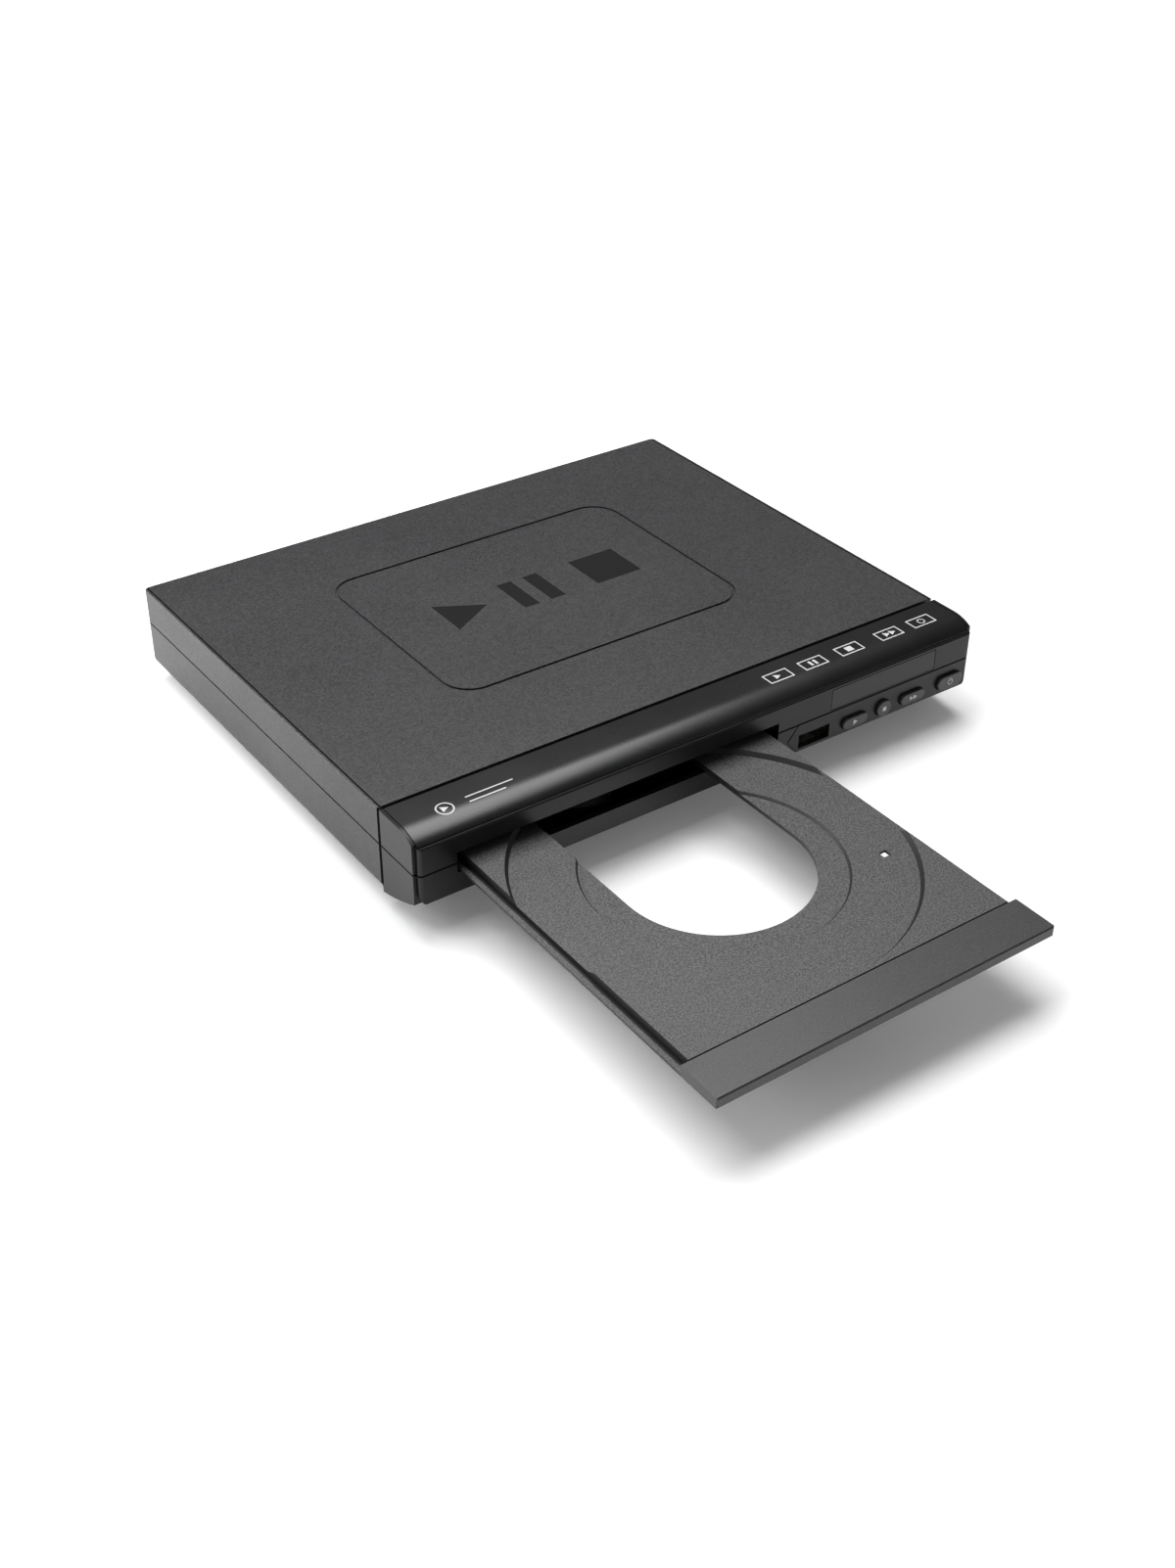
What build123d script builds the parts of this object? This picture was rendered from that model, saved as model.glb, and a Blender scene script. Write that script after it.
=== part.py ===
"""Compact disc player with a motor tray, drawn with the tray open.

Millimetres, +Z up. The user stands at -Y. The row's origin is under the middle of the whole
object with its tray out, at the level that the rubber feet rest on. Depths are counted from
the front face towards the back; the tray's own pieces lie in front of that face, so their
depths are negative.
"""

from math import acos, cos, pi, radians, sin, sqrt, tan
import os

from build123d import *

# ---- Driving dimensions ----------------------------------------------------------------

# Case
WIDTH = 225.0
DEPTH = 185.3
HEIGHT = 36.0
WALL = 2.0
UNDER_Z = 5.2           # underside of the bottom shell's floor
SEAM_Z = 22.9           # middle of the seam that runs all round
SEAM = 0.6              # width of the dark line between two housings
FRONT_DEEP = 21.0       # depth of the front piece, to its seam with cover and shell
FACE_TOP_Z = 32.6       # where the glossy cap ends above the flat face
FACE_LOW_Z = 11.6       # lower edge of the flat face
FACE_THICK = 2.2
FACE_HALF = 111.3       # half width of the flat face, between the cheeks
CROWN_R = 15.25         # the cap's rolled front edge
CROWN_START = 10.0      # depth at which the roll begins
CAP_THICK = 1.6

# Tray
TRAY_X = -36.5          # centre line of tray, slot and drive
TRAY_OUT = 122.5        # reach of the open tray, which is also its travel
DOOR_DEEP = 15.3
DOOR_HALF = 61.1
TRAY_HALF = 58.2
TRAY_TAIL = 50.0        # depth of the open tray's rear end
TRAY_LOW_Z = 19.9
RIM_Z = 23.6
RECESS_Z = 22.1         # floor for a 120 mm disc
SMALL_RECESS_Z = 21.3   # floor for an 80 mm disc
RECESS_R = 61.86
SMALL_RECESS_R = 40.94
CUTOUT_R = 31.0
DISC_DEPTH = -43.9      # the disc's centre with the tray open
SLOT_HALF = 61.8
SLOT_LOW_Z = 19.3
SLOT_TOP_Z = 26.7

# Loader
LOADER_HALF = 64.2      # outer face of the loader frame's side walls
LOADER_FRONT = 3.2
DECK_FRONT = 14.5
LOADER_BACK = 178.0
DECK_Z = 11.0           # top of the front deck, which carries motor and gears
DECK_THICK = 1.5
GEAR_MODULE = 1.0
PRESSURE = radians(25.0)
TOOTH_SHARE = 0.45      # tooth thickness as a share of the pitch; the rest is backlash
ADDENDUM = 0.85
DEDENDUM = 1.15
RACK_LINE = 55.5        # the rack's pitch line, right of the tray's centre line
TRAY_PINION_TEETH = 12
DRIVE_TEETH = 22
BELT_PINION_TEETH = 10
GEAR_DEPTH = 26.0       # the three axles stand in one row at this depth
MOTOR_OFF = -1.0        # motor axle, from the tray's centre line
BELT_GROOVE_R = 7.2
MOTOR_GROOVE_R = 2.8
BELT_R = 0.7
BELT_Z = 18.2
AXLE_R = 1.5
RUNNING = 0.05          # radial clearance of every pin in its bore

# Traverse, drawn on its own plane, which dips towards the front while the tray is open
PIVOT_DEPTH = 170.0
PIVOT_Z = 14.5
DIP = 2.4               # degrees
SPINDLE_Y = DISC_DEPTH + TRAY_OUT - PIVOT_DEPTH
TRAVERSE_HALF = 50.0
TRAVERSE_FRONT = -122.0
PLATE_LOW = 3.6
PLATE_TOP = 4.6
TURNTABLE_TOP = 9.1
CAM_PIN_X = 25.0
CAM_PIN_H = 1.0
CAM_TRAVEL = 12.0
ROD_X = 20.0
ROD_H = 1.2
ROD_R = 1.5
SCREW_X = -32.0
SCREW_H = -0.8

# Back
REAR_OUT = 7.0          # the jack barrels' reach behind the back wall
JACK_Z = 14.5
JACK_R = 4.15
JACK_WELL_R = 3.4
JACK_XS = (41.0, 55.0, 69.0)
INLET_X = 88.0
INLET_Z = 13.9
PIN_SPREAD = 8.6        # between the two mains pins

FOOT_XS = 92.0
FOOT_DEPTHS = (38.0, 168.0)
CASE_SCREWS = [(x, d) for x in (-106.0, 106.0) for d in (30.0, 177.0)]
LOADER_EARS = [(x, d) for x in (-67.4, 67.4) for d in (46.0, 160.0)]

# Buttons: name, centre x, centre z, length, height (a round one has length = height)
BUTTONS = (
    ("play_button", 58.7, 16.1, 11.0, 4.2),
    ("stop_button", 71.7, 16.4, 6.2, 6.2),
    ("skip_button", 85.0, 16.3, 11.0, 4.2),
    ("power_button", 102.4, 16.6, 11.4, 5.4),
)
BUTTON_PROUD = 1.3
BUTTON_TRAVEL = 0.8
BUTTON_GAP = 0.25
FLANGE = 0.7            # the step behind the face that keeps a button in
WINDOW = ((47.9, 94.8), (23.5, 31.5))
USB_MOUTH = ((34.4, 47.9), (13.4, 18.6))
FRONT_BOARD_DEPTH = 9.5

FACE_Y = (TRAY_OUT - DEPTH - REAR_OUT) / 2   # the front face's place in the row's frame


# ---- Planes and repeated shapes ----------------------------------------------------------

def level(z, x=0.0):
    """Looks down: local x is right, local y is the depth behind the front face."""
    return Plane(origin=(x, FACE_Y, z), x_dir=(1, 0, 0), z_dir=(0, 0, 1))


def upright(depth, x=0.0, z=0.0):
    """Faces the user: local x is right, local y is up."""
    return Plane(origin=(x, FACE_Y + depth, z), x_dir=(1, 0, 0), z_dir=(0, -1, 0))


def profile(x):
    """Seen from the right: local x is the depth behind the front face, local y is up."""
    return Plane(origin=(x, FACE_Y, 0), x_dir=(0, 1, 0), z_dir=(1, 0, 0))


def traverse(height):
    """A plane of the traverse, at a height over its pivot: local y runs to the back."""
    lean = radians(DIP)
    up = Vector(0, -sin(lean), cos(lean))
    pivot = Vector(TRAY_X, FACE_Y + PIVOT_DEPTH, PIVOT_Z)
    return Plane(origin=pivot + up * height, x_dir=(1, 0, 0), z_dir=up)


def traverse_section(y, x=0.0, height=0.0):
    """A plane across the traverse, facing the user, at y along it."""
    flat = traverse(height)
    return Plane(origin=flat.from_local_coords((x, y, 0)), x_dir=(1, 0, 0), z_dir=-flat.y_dir)


def brick(base, across, along, height, mode=Mode.ADD):
    """A rectangular block that stands on the plane base."""
    with BuildSketch(base) as footprint:
        with Locations((sum(across) / 2, sum(along) / 2)):
            Rectangle(across[1] - across[0], along[1] - along[0])
    extrude(footprint.sketch, amount=height, mode=mode)


def drum(base, centre, radius, height, mode=Mode.ADD):
    """A round post or hole that stands on the plane base."""
    with BuildSketch(base) as footprint:
        with Locations(centre):
            Circle(radius)
    extrude(footprint.sketch, amount=height, mode=mode)


def pill(base, centre, length, width, height, mode=Mode.ADD):
    """A post or hole with round ends; a round one where length and width agree."""
    with BuildSketch(base) as footprint:
        with Locations(centre):
            if length > width:
                SlotOverall(length, width)
            else:
                Circle(width / 2)
    extrude(footprint.sketch, amount=height, mode=mode)


def involute(angle):
    return tan(angle) - angle


def tooth_angles(teeth):
    """Radii of a tooth's flank with the half angle that the tooth has there."""
    pitch_r = GEAR_MODULE * teeth / 2
    base_r = pitch_r * cos(PRESSURE)
    tip_r = pitch_r + ADDENDUM * GEAR_MODULE
    half = TOOTH_SHARE * pi * GEAR_MODULE / 2 / pitch_r
    flank = []
    for radius in (pitch_r - DEDENDUM * GEAR_MODULE, pitch_r, (pitch_r + tip_r) / 2, tip_r):
        slope = acos(min(1.0, base_r / radius))
        flank.append((radius, half + involute(PRESSURE) - involute(slope)))
    return flank


def spur(base, centre, teeth, height, turned=0.0):
    """A spur gear whose first tooth points along the plane's x, turned by an angle."""
    flank = tooth_angles(teeth)
    outline = []
    for tooth in range(teeth):
        middle = turned + 2 * pi * tooth / teeth
        rising = [(radius, middle - half) for radius, half in flank]
        falling = [(radius, middle + half) for radius, half in reversed(flank)]
        outline += [(centre[0] + r * cos(a), centre[1] + r * sin(a)) for r, a in rising + falling]
    with BuildSketch(base) as footprint:
        with BuildLine():
            Polyline(*outline, close=True)
        make_face()
    extrude(footprint.sketch, amount=height)


def finish(part, name):
    """Labels a finished piece and writes it."""
    part.part.label = name
    export_step(part.part, f"parts/{name}.step")


os.makedirs("parts", exist_ok=True)

case_half = WIDTH / 2
cover_front = FRONT_DEEP + SEAM / 2
upper_z = SEAM_Z + SEAM / 2
lower_z = SEAM_Z - SEAM / 2
floor_z = UNDER_Z + WALL


# ---- Bottom shell ------------------------------------------------------------------------

BOSS_R = 4.6
COVER_BOSS_R = 3.0
BOSS_TOP_Z = 20.0
FOOT_R = 6.5
FOOT_TALL = 3.0
FOOT_BOSS_R = 8.5
FOOT_BOSS_LOW_Z = 2.4
SCREW_HEAD_R = 2.8
SCREW_SEAT_Z = 9.0
LIP_OUT = case_half - WALL - 0.1
LIP_IN = LIP_OUT - 1.1
LIP_TOP_Z = 25.2
VENT_ROWS = 9

with BuildPart() as bottom_shell:
    brick(level(UNDER_Z), (-case_half, case_half), (cover_front, DEPTH), lower_z - UNDER_Z)
    long_edges = bottom_shell.faces().sort_by(Axis.Z)[0].edges()
    fillet(long_edges.filter_by(Axis.Y) + long_edges.sort_by(Axis.Y)[-1:], radius=3.5)
    fillet(bottom_shell.edges().filter_by(Axis.Z).sort_by(Axis.Y)[-2:], radius=2.0)
    brick(level(floor_z), (WALL - case_half, case_half - WALL), (0, DEPTH - WALL),
          lower_z, mode=Mode.SUBTRACT)
    # A lip stands up inside the wall and keeps the cover in line.
    lip_back = DEPTH - WALL - 0.1
    for low_z, top_z, outside in ((lower_z - 2.0, lower_z, 0.2), (lower_z, LIP_TOP_Z, 0.0)):
        with BuildSketch(level(low_z)):
            for side in (-1, 1):
                across = LIP_OUT - LIP_IN + outside
                with Locations((side * (LIP_IN + across / 2), (cover_front + lip_back) / 2)):
                    Rectangle(across, lip_back - cover_front)
            with Locations((0, lip_back - (1.1 - outside) / 2)):
                Rectangle(2 * LIP_OUT, 1.1 + outside)
        extrude(amount=top_z - low_z)
    # Bosses for the case screws, the loader and the boards
    with BuildSketch(level(UNDER_Z + 1)):
        with Locations(*CASE_SCREWS):
            Circle(BOSS_R)
    extrude(amount=BOSS_TOP_Z - UNDER_Z - 1)
    with BuildSketch(level(UNDER_Z + 1)):
        with Locations(*[(TRAY_X + x, d) for x, d in LOADER_EARS]):
            Circle(2.8)
    extrude(amount=DECK_Z - DECK_THICK - UNDER_Z - 1)
    # Feet bosses, hollow for the rubber pads
    with BuildSketch(level(FOOT_BOSS_LOW_Z)):
        with Locations(*[(x, d) for x in (-FOOT_XS, FOOT_XS) for d in FOOT_DEPTHS]):
            Circle(FOOT_BOSS_R)
    extrude(amount=UNDER_Z + 0.5 - FOOT_BOSS_LOW_Z)
    with BuildSketch(level(FOOT_BOSS_LOW_Z)):
        with Locations(*[(x, d) for x in (-FOOT_XS, FOOT_XS) for d in FOOT_DEPTHS]):
            Circle(FOOT_R)
    extrude(amount=FOOT_TALL - FOOT_BOSS_LOW_Z, mode=Mode.SUBTRACT)
    # Screw holes: a wide seat from below, then the clearance hole
    for hole_r, low_z, top_z in ((SCREW_HEAD_R + 0.4, UNDER_Z, SCREW_SEAT_Z),
                                 (1.7, SCREW_SEAT_Z, BOSS_TOP_Z)):
        with BuildSketch(level(low_z)):
            with Locations(*CASE_SCREWS):
                Circle(hole_r)
        extrude(amount=top_z - low_z, mode=Mode.SUBTRACT)
    with BuildSketch(level(SCREW_SEAT_Z - 1.5)):
        with Locations(*[(TRAY_X + x, d) for x, d in LOADER_EARS]):
            Circle(1.2)
    extrude(amount=6, mode=Mode.SUBTRACT)
    # Vents under the power board and beside the loader
    with BuildSketch(level(UNDER_Z)):
        for vent_x, vent_depth in ((92.0, 112.0), (-36.5, 62.0)):
            with Locations((vent_x, vent_depth)):
                with GridLocations(0, 5.0, 1, VENT_ROWS):
                    SlotOverall(24.0, 2.0)
    extrude(amount=WALL, mode=Mode.SUBTRACT)
    # Back wall: three jack holes and the mains inlet's hole
    with BuildSketch(upright(DEPTH)):
        with Locations(*[(x, JACK_Z) for x in JACK_XS]):
            Circle(JACK_WELL_R + 0.2)
        with Locations((INLET_X, INLET_Z)):
            Rectangle(20.6, 12.6)
    extrude(amount=WALL, mode=Mode.SUBTRACT)
finish(bottom_shell, "bottom_shell")

with BuildPart() as rubber_feet:
    with BuildSketch(level(0)):
        with Locations(*[(x, d) for x in (-FOOT_XS, FOOT_XS) for d in FOOT_DEPTHS]):
            Circle(FOOT_R)
    extrude(amount=FOOT_TALL)
    chamfer(rubber_feet.edges().filter_by(GeomType.CIRCLE).group_by(Axis.Z)[0], length=0.6)
finish(rubber_feet, "rubber_feet")


# ---- Top cover -----------------------------------------------------------------------------

GROOVE_WIDE = 1.2
GROOVE_DEEP = 0.6
PANEL_ACROSS = (-59.8, 61.0)
PANEL_ALONG = (60.0, 150.0)
PANEL_R = 11.5
EDGE_LINE = FACE_HALF + 0.3     # the fine groove along each side edge of the top
PILOT_R = 1.4

with BuildPart() as top_cover:
    brick(level(upper_z), (-case_half, case_half), (cover_front, DEPTH), HEIGHT - upper_z)
    fillet(top_cover.edges().filter_by(Axis.Z).sort_by(Axis.Y)[-2:], radius=2.0)
    top_rim = top_cover.faces().sort_by(Axis.Z)[-1].edges()
    fillet(top_rim.sort_by(Axis.Y)[1:], radius=0.5)
    brick(level(upper_z), (WALL - case_half, case_half - WALL), (0, DEPTH - WALL),
          HEIGHT - WALL - upper_z, mode=Mode.SUBTRACT)
    with BuildSketch(level(BOSS_TOP_Z)):
        with Locations(*CASE_SCREWS):
            Circle(COVER_BOSS_R)
    extrude(amount=HEIGHT - WALL - BOSS_TOP_Z + 0.5)
    with BuildSketch(level(BOSS_TOP_Z)):
        with Locations(*CASE_SCREWS):
            Circle(PILOT_R)
    extrude(amount=9, mode=Mode.SUBTRACT)
    # Stiffening ribs across the inside of the roof
    for rib_depth in (48.0, 108.0, 156.0):
        brick(level(HEIGHT - WALL - 1.2), (-108.0, 108.0), (rib_depth, rib_depth + 1.2), 1.7)
    with BuildSketch(level(HEIGHT - GROOVE_DEEP)):
        with Locations((sum(PANEL_ACROSS) / 2, sum(PANEL_ALONG) / 2)):
            long_side = PANEL_ACROSS[1] - PANEL_ACROSS[0]
            short_side = PANEL_ALONG[1] - PANEL_ALONG[0]
            RectangleRounded(long_side, short_side, PANEL_R)
            RectangleRounded(long_side - 2 * GROOVE_WIDE, short_side - 2 * GROOVE_WIDE,
                             PANEL_R - GROOVE_WIDE, mode=Mode.SUBTRACT)
    extrude(amount=GROOVE_DEEP + 1, mode=Mode.SUBTRACT)
    for side in (-1, 1):
        edges_x = sorted((side * EDGE_LINE, side * (EDGE_LINE - 0.6)))
        brick(level(HEIGHT - 0.8), edges_x, (cover_front, DEPTH - 1.0), 2,
              mode=Mode.SUBTRACT)
finish(top_cover, "top_cover")

with BuildPart() as case_screws:
    with BuildSketch(level(SCREW_SEAT_Z - 1.6)):
        with Locations(*CASE_SCREWS):
            Circle(SCREW_HEAD_R)
    extrude(amount=1.6)
    with BuildSketch(level(SCREW_SEAT_Z)):
        with Locations(*CASE_SCREWS):
            Circle(PILOT_R)
    extrude(amount=18)
finish(case_screws, "case_screws")


# ---- Front: cheeks, flat face and the glossy cap ---------------------------------------------

CHEEK_START = 2.0
BACK_EDGE = FRONT_DEEP - SEAM / 2
crown_z = HEIGHT - CROWN_R
TONGUE_BACK = FRONT_DEEP + 3.5


def roll(inset, depth):
    """Height of the crown's rolled surface at a depth, with the skin inset from it."""
    return crown_z + sqrt((CROWN_R - inset) ** 2 - (CROWN_START - depth) ** 2)


def roll_depth(inset, z):
    """Depth at which the rolled surface passes a height."""
    return CROWN_START - sqrt((CROWN_R - inset) ** 2 - (z - crown_z) ** 2)


def crown_line(inset, start, end):
    """The crown's line, from its rolled front to the flat at the back."""
    middle = (start + CROWN_START) / 2
    ThreePointArc((start, roll(inset, start)), (middle, roll(inset, middle)),
                  (CROWN_START, HEIGHT - inset))
    Line((CROWN_START, HEIGHT - inset), (end, HEIGHT - inset))


cap_front = roll_depth(0, FACE_TOP_Z)
cap_foot = roll_depth(CAP_THICK, FACE_TOP_Z)
SKIN = CAP_THICK + 1.4

with BuildPart() as upper_front:
    # Flat face and the shelf under the cap, one bent skin between the cheeks
    with BuildSketch(profile(-FACE_HALF)) as skin:
        with BuildLine():
            Line((0, upper_z), (0, FACE_TOP_Z - 0.4))
            Line((0, FACE_TOP_Z - 0.4), (cap_front, FACE_TOP_Z))
            Line((cap_front, FACE_TOP_Z), (cap_foot, FACE_TOP_Z))
            crown_line(CAP_THICK, cap_foot, BACK_EDGE)
            Line((BACK_EDGE, HEIGHT - CAP_THICK), (BACK_EDGE, HEIGHT - WALL - 0.1))
            Line((BACK_EDGE, HEIGHT - WALL - 0.1), (TONGUE_BACK, HEIGHT - WALL - 0.1))
            Line((TONGUE_BACK, HEIGHT - WALL - 0.1), (TONGUE_BACK, HEIGHT - SKIN))
            Line((TONGUE_BACK, HEIGHT - SKIN), (CROWN_START, HEIGHT - SKIN))
            inner_front = roll_depth(SKIN, FACE_TOP_Z - 2.5)
            inner_mid = (inner_front + CROWN_START) / 2
            ThreePointArc((CROWN_START, HEIGHT - SKIN), (inner_mid, roll(SKIN, inner_mid)),
                          (inner_front, FACE_TOP_Z - 2.5))
            Line((inner_front, FACE_TOP_Z - 2.5), (FACE_THICK, FACE_TOP_Z - 4.5))
            Line((FACE_THICK, FACE_TOP_Z - 4.5), (FACE_THICK, upper_z))
            Line((FACE_THICK, upper_z), (0, upper_z))
        make_face()
    extrude(skin.sketch, amount=2 * FACE_HALF)
    face_ends = upper_front.edges().filter_by(Axis.Z).group_by(Axis.Y)[0]
    fillet(face_ends, radius=1.2)
    for side in (-1, 1):
        start_x = side * case_half if side < 0 else case_half - WALL
        with BuildSketch(profile(start_x)) as cheek:
            with BuildLine():
                Line((CHEEK_START, upper_z), (CHEEK_START, roll(0, CHEEK_START)))
                crown_line(0, CHEEK_START, BACK_EDGE)
                Line((BACK_EDGE, HEIGHT), (BACK_EDGE, upper_z))
                Line((BACK_EDGE, upper_z), (CHEEK_START, upper_z))
            make_face()
        extrude(cheek.sketch, amount=WALL)
        # Tongue that runs behind the cover's side wall
        tongue_x = side * (case_half - WALL - 0.6)
        brick(level(upper_z), (tongue_x - 0.5, tongue_x + 0.5), (12.0, BACK_EDGE),
              HEIGHT - WALL - 0.1 - upper_z)
    # The rebate that the cap lies in, down to the shelf, with a fine gap at each cheek
    with BuildSketch(profile(-FACE_HALF)) as rebate:
        with BuildLine():
            Line((cap_foot, FACE_TOP_Z), (0, FACE_TOP_Z))
            Line((0, FACE_TOP_Z), (0, HEIGHT + 1))
            Line((0, HEIGHT + 1), (BACK_EDGE, HEIGHT + 1))
            Line((BACK_EDGE, HEIGHT + 1), (BACK_EDGE, HEIGHT - CAP_THICK))
            Line((BACK_EDGE, HEIGHT - CAP_THICK), (CROWN_START, HEIGHT - CAP_THICK))
            shelf_mid = (cap_foot + CROWN_START) / 2
            ThreePointArc((CROWN_START, HEIGHT - CAP_THICK),
                          (shelf_mid, roll(CAP_THICK, shelf_mid)), (cap_foot, FACE_TOP_Z))
        make_face()
    extrude(rebate.sketch, amount=2 * FACE_HALF, mode=Mode.SUBTRACT)
    for side in (-1, 1):
        brick(level(HEIGHT - SKIN - 1), sorted((side * (case_half - WALL - 0.2), side * case_half)),
              (BACK_EDGE, TONGUE_BACK + 1), SKIN, mode=Mode.SUBTRACT)
    # Slot, window pocket and the opening behind the window
    brick(upright(-1, x=TRAY_X), (-SLOT_HALF, SLOT_HALF), (upper_z - 1, SLOT_TOP_Z), -6,
          mode=Mode.SUBTRACT)
    brick(upright(-1), WINDOW[0], WINDOW[1], -1 - CAP_THICK, mode=Mode.SUBTRACT)
    brick(upright(-1), (50.5, 92.2), (24.8, 30.2), -6, mode=Mode.SUBTRACT)
finish(upper_front, "upper_front")

with BuildPart() as gloss_strip:
    strip_half = FACE_HALF - 0.3
    with BuildSketch(profile(-strip_half)) as cap:
        with BuildLine():
            crown_line(0, cap_front, BACK_EDGE)
            Line((BACK_EDGE, HEIGHT), (BACK_EDGE, HEIGHT - CAP_THICK))
            Line((BACK_EDGE, HEIGHT - CAP_THICK), (CROWN_START, HEIGHT - CAP_THICK))
            ThreePointArc((CROWN_START, HEIGHT - CAP_THICK),
                          (shelf_mid, roll(CAP_THICK, shelf_mid)), (cap_foot, FACE_TOP_Z))
            Line((cap_foot, FACE_TOP_Z), (cap_front, FACE_TOP_Z))
        make_face()
    extrude(cap.sketch, amount=2 * strip_half)
    front_edge = gloss_strip.edges().filter_by(Axis.X).sort_by(Axis.Y)[0]
    fillet(front_edge, radius=0.35)
finish(gloss_strip, "gloss_strip")

with BuildPart() as display_window:
    brick(upright(0), (WINDOW[0][0] + 0.12, WINDOW[0][1] - 0.12),
          (WINDOW[1][0] + 0.12, WINDOW[1][1] - 0.12), -CAP_THICK)
    chamfer(display_window.faces().sort_by(Axis.Y)[0].edges(), length=0.15)
finish(display_window, "display_window")

BELLY_SKIN = 1.5
BELLY = ((BACK_EDGE, UNDER_Z + 0.2), (11.3, 8.1), (CHEEK_START, 12.0))


def belly_line(lift):
    """The rising underside of the front, or its inner skin, lifted by a thickness."""
    ThreePointArc(*[(depth, z + lift) for depth, z in BELLY])


with BuildPart() as lower_front:
    with BuildSketch(profile(-FACE_HALF)) as skin:
        with BuildLine():
            belly_line(0)
            Line(BELLY[2], (CHEEK_START, FACE_LOW_Z))
            Line((CHEEK_START, FACE_LOW_Z), (0.8, FACE_LOW_Z))
            Line((0.8, FACE_LOW_Z), (0, FACE_LOW_Z + 0.8))
            Line((0, FACE_LOW_Z + 0.8), (0, lower_z))
            Line((0, lower_z), (FACE_THICK, lower_z))
            Line((FACE_THICK, lower_z), (FACE_THICK, BELLY[2][1] + BELLY_SKIN))
            Line((FACE_THICK, BELLY[2][1] + BELLY_SKIN), (CHEEK_START, BELLY[2][1] + BELLY_SKIN))
            belly_line(BELLY_SKIN)
            Line((BACK_EDGE, BELLY[0][1] + BELLY_SKIN), BELLY[0])
        make_face()
    extrude(skin.sketch, amount=2 * FACE_HALF)
    for side in (-1, 1):
        start_x = side * case_half if side < 0 else case_half - WALL
        with BuildSketch(profile(start_x)) as cheek:
            with BuildLine():
                belly_line(0)
                Line(BELLY[2], (CHEEK_START, lower_z))
                Line((CHEEK_START, lower_z), (BACK_EDGE, lower_z))
                Line((BACK_EDGE, lower_z), BELLY[0])
            make_face()
        extrude(cheek.sketch, amount=WALL)
        # Tongue behind the bottom shell's side wall
        tongue_x = side * (case_half - WALL - 2.3)
        brick(level(UNDER_Z + WALL + 3), (tongue_x - 0.5, tongue_x + 0.5),
              (12.0, TONGUE_BACK), 8.0)
        brick(level(UNDER_Z + WALL + 3), sorted((tongue_x, side * (case_half - WALL + 0.2))),
              (12.0, 14.0), 8.0)
    # Round the face's lower corners and its upright ends
    corners = lower_front.edges().filter_by(Axis.Z).group_by(Axis.Y)[0]
    fillet(corners, radius=1.2)
    # Slot, buttons, USB mouth and the chevron groove that ends the control panel
    brick(upright(-1, x=TRAY_X), (-SLOT_HALF, SLOT_HALF), (SLOT_LOW_Z, lower_z + 1), -6,
          mode=Mode.SUBTRACT)
    for name, x, z, length, tall in BUTTONS:
        pill(upright(-1), (x, z), length + 2 * BUTTON_GAP, tall + 2 * BUTTON_GAP, -4,
             mode=Mode.SUBTRACT)
        pill(upright(FACE_THICK), (x, z), length + 2 * FLANGE + 0.6, tall + 2 * FLANGE + 0.6,
             -4, mode=Mode.SUBTRACT)
    brick(upright(-1), USB_MOUTH[0], USB_MOUTH[1], -4, mode=Mode.SUBTRACT)
    brick(upright(FACE_THICK), (USB_MOUTH[0][0] - 0.3, USB_MOUTH[0][1] + 0.3), (12.9, 19.1),
          -4, mode=Mode.SUBTRACT)
    with BuildSketch(upright(-1)) as chevron:
        with BuildLine():
            Polyline((33.6, lower_z), (29.2, 17.4), (33.6, 12.0), (34.2, 12.0),
                     (29.9, 17.4), (34.2, lower_z), close=True)
        make_face()
    extrude(chevron.sketch, amount=-1.4, mode=Mode.SUBTRACT)
finish(lower_front, "lower_front")


# ---- Front controls ----------------------------------------------------------------------------

for name, x, z, length, tall in BUTTONS:
    with BuildPart() as button:
        pill(upright(3.4), (x, z), length, tall, 3.4 + BUTTON_PROUD)
        cap_edge = button.faces().sort_by(Axis.Y)[0].edges()
        fillet(cap_edge, radius=0.5)
        pill(upright(3.4), (x, z), length + 2 * FLANGE, tall + 2 * FLANGE, 1.0)
        drum(upright(5.0), (x, z), 1.6, 1.6)
    finish(button, name)

with BuildPart() as front_board:
    brick(upright(FRONT_BOARD_DEPTH), (34.2, 108.4), (13.0, 31.5), -1.2)
    brick(upright(FRONT_BOARD_DEPTH - 1), (34.2, 48.2), (12.5, 19.2), -4, mode=Mode.SUBTRACT)
finish(front_board, "front_board")

with BuildPart() as tact_switches:
    for name, x, z, length, tall in BUTTONS:
        brick(upright(FRONT_BOARD_DEPTH), (x - 3, x + 3), (z - 3, z + 3), 2.8)
        drum(upright(FRONT_BOARD_DEPTH - 2.8), (x, z), 1.7, 0.8)
finish(tact_switches, "tact_switches")

with BuildPart() as display_module:
    brick(upright(FRONT_BOARD_DEPTH), (51.0, 91.6), (25.0, 30.0), FRONT_BOARD_DEPTH - 1.9)
finish(display_module, "display_module")

usb_x = sum(USB_MOUTH[0]) / 2
usb_z = sum(USB_MOUTH[1]) / 2
with BuildPart() as usb_socket:
    brick(upright(15.0), (usb_x - 6.6, usb_x + 6.6), (usb_z - 2.9, usb_z + 2.9), 12.6)
    brick(upright(14.4), (usb_x - 6.2, usb_x + 6.2), (usb_z - 2.5, usb_z + 2.5), 12.6,
          mode=Mode.SUBTRACT)
finish(usb_socket, "usb_socket")

with BuildPart() as usb_tongue:
    brick(upright(14.4), (usb_x - 5.5, usb_x + 5.5), (usb_z - 0.1, usb_z + 1.7), 11.4)
    brick(upright(14.4), (usb_x - 6.2, usb_x + 6.2), (usb_z - 2.5, usb_z + 2.5), 1.2)
finish(usb_tongue, "usb_tongue")


# ---- Tray and its door ---------------------------------------------------------------------------

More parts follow.
